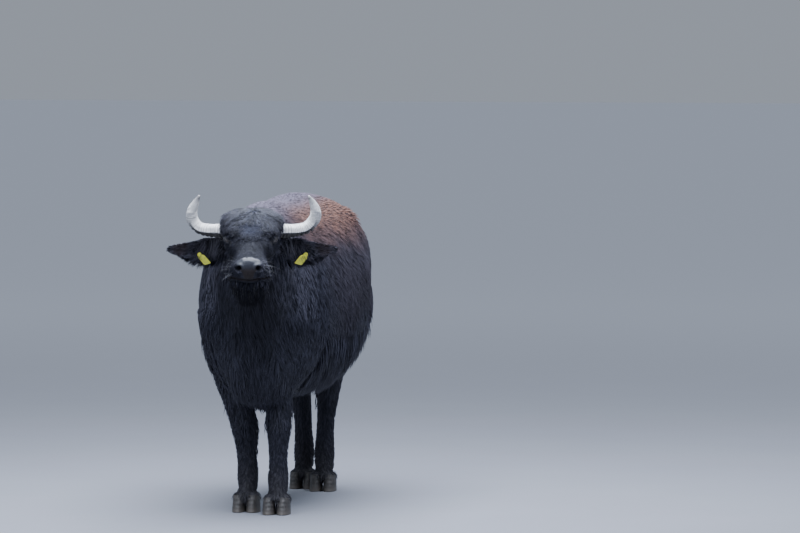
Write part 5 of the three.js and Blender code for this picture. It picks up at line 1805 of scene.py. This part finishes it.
def hoof_finish():
    material, start, shader = finish_of("hoof_keratin", Roughness=0.5)
    place = placed(start)
    fibre = place.stretched(1, 1, 0.2).noise(140.0, 4.0, 0.6)
    dusty = (place.xyz()[2] + (fibre - 0.5) * 0.03).between(0.035, 0.0)
    colour = fibre.between(0.35, 0.7).blend(rgb(0.02, 0.018, 0.017), rgb(0.07, 0.06, 0.055))
    colour = (dusty * 0.6).blend(colour, rgb(0.14, 0.12, 0.1))
    connect(start, shader, Base_Color=colour, Roughness=0.4 + fibre * 0.35,
            Normal=bumped(start, fibre, 0.001, 0.5))
    return material


def eye_finish():
    material, start, shader = finish_of("wet_eye", Roughness=0.25, Coat_Weight=1.0, Coat_Roughness=0.03)
    off_gaze, off_pupil = attribute(start, "off_gaze"), attribute(start, "off_pupil")
    flecks = placed(start).noise(700.0, 3.0)
    iris = flecks.between(0.3, 0.7).blend(rgb(0.016, 0.008, 0.005), rgb(0.055, 0.028, 0.014))
    colour = off_gaze.between(50.0, 56.0).blend(iris, rgb(0.03, 0.022, 0.02))
    colour = off_pupil.between(15.0, 12.0).blend(colour, rgb(0.004, 0.003, 0.003))
    connect(start, shader, Base_Color=colour, Roughness=0.2 + flecks * 0.15)
    return material


def tag_finish():
    material, start, shader = finish_of("soft_yellow_plastic", Roughness=0.45)
    place = placed(start)
    dirt = place.noise(45.0, 4.0, 0.6)
    colour = (dirt.between(0.55, 0.8) * 0.5).blend(rgb(0.74, 0.72, 0.05), rgb(0.33, 0.29, 0.06))
    connect(start, shader, Base_Color=colour, Roughness=0.4 + dirt * 0.2,
            Normal=bumped(start, place.noise(600.0), 0.0002, 0.4))
    return material


def dress(things, finish):
    for thing in things:
        thing.data.materials.clear()
        thing.data.materials.append(finish)
        for face in thing.data.polygons:
            face.use_smooth = True


SHORT_HAIR = ("face", "whorl", "chin", "fillet")
dress([c for c in COAT if not c.name.startswith(SHORT_HAIR)], coat_finish("long_coat", 0.15, 0.4, 0.45))
dress([c for c in COAT if c.name.startswith(SHORT_HAIR)], coat_finish("short_coat", 0.05, 0.1, 0.15))
dress([skin], skin_finish())
dress(eyes.values(), eye_finish())
dress(horns.values(), horn_finish())
dress(hoof_pieces.values(), hoof_finish())
dress(tags.values(), tag_finish())
print("finishes:", len(bpy.data.materials))

# %% [markdown]
# ## Whiskers and lashes
#
# One node tree grows them all: it sets a tapered, drooping bristle on every root point, turned the way that the
# point's own attribute says. Length, thickness and droop are inputs, so whiskers and lashes differ only in
# their numbers and their finish. The roots' places on the unwrap ride along as a second attribute.

# %% The tree for bristles
def bristle_tree():
    tree = bpy.data.node_groups.new("bristles", "GeometryNodeTree")
    inputs = {"Roots": "Geometry", "Length": "Float", "Thickness": "Float", "Droop": "Float", "Seed": "Int",
              "Finish": "Material"}
    for name, kind in inputs.items():
        tree.interface.new_socket(name, in_out="INPUT", socket_type="NodeSocket" + kind)
    tree.interface.new_socket("Bristles", in_out="OUTPUT", socket_type="NodeSocketGeometry")
    wire = Wire(tree)
    given = tree.nodes.new("NodeGroupInput")
    roots, length, thickness, droop, seed, finish = (Wire(tree, given.outputs[i]) for i in range(6))
    middle = wire.add("ShaderNodeCombineXYZ", None, {2: length * 0.55})
    end = wire.add("ShaderNodeCombineXYZ", None, {0: length * droop, 2: length})
    bow = {"Resolution": 6, "Start": (0, 0, 0), "Middle": middle, "End": end}
    line = wire.add("GeometryNodeCurveQuadraticBezier", None, bow)
    taper = 1 - wire.add("GeometryNodeSplineParameter") * 0.85
    profile = wire.add("GeometryNodeCurvePrimitiveCircle", None, {"Resolution": 5, "Radius": thickness})
    line = wire.add("GeometryNodeSetCurveRadius", None, {"Curve": line, "Radius": taper})
    tube = {"Curve": line, "Profile Curve": profile, "Fill Caps": True}
    bristle = wire.add("GeometryNodeCurveToMesh", None, tube)
    if "Scale" in bristle.socket.node.inputs:
        tree.links.new(taper.socket, bristle.socket.node.inputs["Scale"])
    way = wire.add("GeometryNodeInputNamedAttribute", {"data_type": "FLOAT_VECTOR"}, {"Name": "way"})
    upright = wire.add("FunctionNodeAlignRotationToVector", {"axis": "Z"}, {"Vector": way})
    drooping = {"Rotation": upright, "Vector": (0, 0, -1)}
    turned = wire.add("FunctionNodeAlignRotationToVector", {"axis": "X", "pivot_axis": "Z"}, drooping)
    size = wire.add("FunctionNodeRandomValue", {"data_type": "FLOAT"}, {2: 0.6, 3: 1.15, 8: seed}, 1)
    each = {"Points": roots, "Instance": bristle, "Rotation": turned, "Scale": size}
    grown = wire.add("GeometryNodeInstanceOnPoints", None, each)
    real = wire.add("GeometryNodeRealizeInstances", None, {"Geometry": grown})
    dressed = wire.add("GeometryNodeSetMaterial", None, {"Geometry": real, "Material": finish})
    tree.links.new(dressed.socket, tree.nodes.new("NodeGroupOutput").inputs[0])
    return tree


def bristles(name, tree, spots, ways, uv, **numbers):
    """A piece of bristles grown by the tree on the spots, as a plain mesh."""
    thing = new_object(name, spots, [])
    for layer_name, values in (("way", ways), ("bake", np.column_stack([uv, 0 * uv[:, 0]]))):
        layer = thing.data.attributes.new(layer_name, "FLOAT_VECTOR", "POINT")
        layer.data.foreach_set("vector", np.ascontiguousarray(values, np.float32).ravel())
    modifier = thing.modifiers.new("grow", "NODES")
    modifier.node_group = tree
    for item in tree.interface.items_tree:
        if item.in_out == "INPUT" and item.name in numbers:
            modifier[item.identifier] = numbers[item.name]
    mesh = bpy.data.meshes.new_from_object(thing.evaluated_get(bpy.context.evaluated_depsgraph_get()))
    thing.modifiers.remove(modifier)
    thing.data = mesh
    bake = np.zeros(3 * len(mesh.vertices), np.float32)
    mesh.attributes["bake"].data.foreach_get("vector", bake)
    corner = np.zeros(len(mesh.loops), np.int32)
    mesh.loops.foreach_get("vertex_index", corner)
    chart = mesh.uv_layers.new(name="OFBake")
    chart.data.foreach_set("uv", np.ascontiguousarray(bake.reshape(-1, 3)[corner, :2]).ravel())
    for face in mesh.polygons:
        face.use_smooth = True
    print(name, len(mesh.polygons), "faces")
    return thing


def bristle_finish(name, light, dark):
    material, start, shader = finish_of(name, Roughness=0.4)
    tone = placed(start).noise(300.0).between(0.3, 0.7)
    connect(start, shader, Base_Color=tone.blend(dark, light), Roughness=0.35 + tone * 0.15)
    return material

# %% Whiskers on the muzzle and lashes on the upper lids
tree = bristle_tree()
dark_hair = rgb(0.03, 0.028, 0.03)
pale_bristle = bristle_finish("pale_bristle", rgb(0.22, 0.22, 0.24), dark_hair)
cheeks = thick_at([(side * 78, -246, z) for side in (1, -1) for z in (8, -34)], 22, 1e-6)
spots, normals, uv, local = head_roots(34, (6.5, HEAD_END), ALL_ROUND, cheeks)
x = local[:, 0]
outwards = head_way(np.stack([sign_of(x) * 0.8, -0.45 + 0 * x, 0.12 + 0 * x], -1))
ways = jumbled(normals * 0.6 + outwards, 0.22)
whiskers = bristles("whiskers", tree, spots - normals * 0.001, ways, uv, Length=0.056, Thickness=0.00032, Droop=0.3,
                    Seed=3, Finish=pale_bristle)

dark_bristle = bristle_finish("dark_bristle", rgb(0.10, 0.095, 0.1), dark_hair)
under_chin = thick_at([(0, -250, -100)], 45, 1e-6)
spots, normals, uv, local = head_roots(60, (6.5, HEAD_END), (200, 340), under_chin)
ways = jumbled(normals * 0.8 + head_way(np.array([[0, -0.3, -0.5]])), 0.25)
chin_whiskers = bristles("chin_whiskers", tree, spots - normals * 0.001, ways, uv, Length=0.05, Thickness=0.0004,
                         Droop=0.35, Seed=4, Finish=dark_bristle)

places, ways = [], []
for side in (1, -1):
    across, upward = eye_frame(side)
    for u in np.linspace(-14, 15, 17):
        v = LIDS["upper"] * (1 - (u / LIDS["half_width"]) ** 2) + 1.6 + LIDS["slant"] * side * u
        forward = math.sqrt(LIDS["radius"] ** 2 - u * u - v * v)
        places.append(eye_place(side) + unit(across * u + upward * v + GAZE[side] * forward) * (EYE_RADIUS + 3.0))
        ways.append(unit(GAZE[side] * 0.9 + upward * 0.25 + across * u * 0.025))
uv = np.tile(on_chart("head", 0.45, 0.25), (len(places), 1))
lashes = bristles("lashes", tree, in_head(np.array(places)), head_way(np.array(ways)), uv, Length=0.013,
                  Thickness=0.0004, Droop=0.3, Seed=5, Finish=dark_bristle)

# %% [markdown]
# ## Studio
#
# An overcast day is the softest studio there is: one huge bright ceiling, a little cool, and a pale floor.
# The ceiling makes back, poll and horns bright and leaves chest and cheeks dark, which shows the forms. A weak
# lamp in front keeps some light on the face. The floor grows paler with distance, towards the tone of the low
# sky, so that no hard horizon shows behind the legs.

# %% Floor and light
FLOOR_REACH = 60
corners = [(-1, -1, 0), (1, -1, 0), (1, 1, 0), (-1, 1, 0)]
floor = new_object("floor", [(x * FLOOR_REACH, y * FLOOR_REACH, z) for x, y, z in corners], [(0, 1, 2, 3)])
floor_paint, start, shader = finish_of("pale_floor", Roughness=0.9)
soft = placed(start).noise(1.5, 2.0)
x, y, _ = placed(start).xyz()
far = ((x * x + y * y) ** 0.5).between(2.5, 16.0)
near_tone = soft.blend(rgb(0.20, 0.205, 0.23), rgb(0.22, 0.225, 0.25))
connect(start, shader, Base_Color=far.blend(near_tone, rgb(0.54, 0.54, 0.575)))
floor.data.materials.append(floor_paint)

SKY = [  # height and colour, from the horizon up
    (0.0, rgb(0.39, 0.43, 0.50)), (0.1, rgb(0.42, 0.46, 0.54)),
    (0.4, rgb(0.47, 0.57, 0.73)), (0.9, rgb(0.82, 0.91, 1.03)),
]
sky = bpy.data.worlds.new("overcast")
sky.use_nodes = True
bpy.context.scene.world = sky
height = Wire(sky.node_tree).add("ShaderNodeTexCoord", None, None, 0).xyz()[2]
shine = height.add("ShaderNodeValToRGB", {"stops": SKY}, {0: height})
background = sky.node_tree.nodes["Background"]
sky.node_tree.links.new(shine.socket, background.inputs["Color"])
background.inputs["Strength"].default_value = 0.78


def soft_box(name, place, aim, size, power, colour):
    lamp = bpy.data.lights.new(name, "AREA")
    lamp.shape = "RECTANGLE"
    lamp.size, lamp.size_y = size
    lamp.energy = power
    lamp.color = colour
    thing = in_scene(name, lamp)
    thing.location = place
    thing.rotation_euler = (Vector(aim) - Vector(place)).to_track_quat("-Z", "Y").to_euler()
    print(name, "shines from", place)


soft_box("ceiling", (0.3, -0.9, 5.2), (0.3, -0.9, 0), (4.5, 7.0), 1350, (0.79, 0.86, 1.0))
soft_box("front_fill", (-2.5, -6.5, 4.2), (0, -0.6, 1.1), (3.0, 3.0), 60, (0.84, 0.91, 1.0))

# %% [markdown]
# ## Which solid each piece stands for
#
# Last, every piece rides with the animal's one body and hides the solids that it stands for. The animal is
# one still body. The skin hides all the solids of flesh.

# %% Riding and replacing
def joins(thing, slot, *nodes):
    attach(thing, "root")
    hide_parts(*nodes)


HARD = ("eye_", "horn_", "tag_")
CLAWS = ("_hoof_", "_dewclaw_")
flesh = [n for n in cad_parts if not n.startswith(HARD) and not any(claw in n for claw in CLAWS)]
joins(skin, "black_coat", *flesh)
for name in SIDES:
    joins(eyes[name], "eye", "eye_" + name)
    joins(horns[name], "horn", "horn_" + name)
    joins(tags[name], "tag_plastic", "tag_" + name)
for node, piece in hoof_pieces.items():
    joins(piece, "hoof", node)
for piece in (whiskers, chin_whiskers, lashes):
    joins(piece, "black_coat", "head")
BLEACHED = ("loin_hair", "barrel_hair", "rib_hair", "shoulder_hair")
for piece in COAT:
    joins(piece, "brown_coat" if piece.name in BLEACHED else "black_coat", "torso")
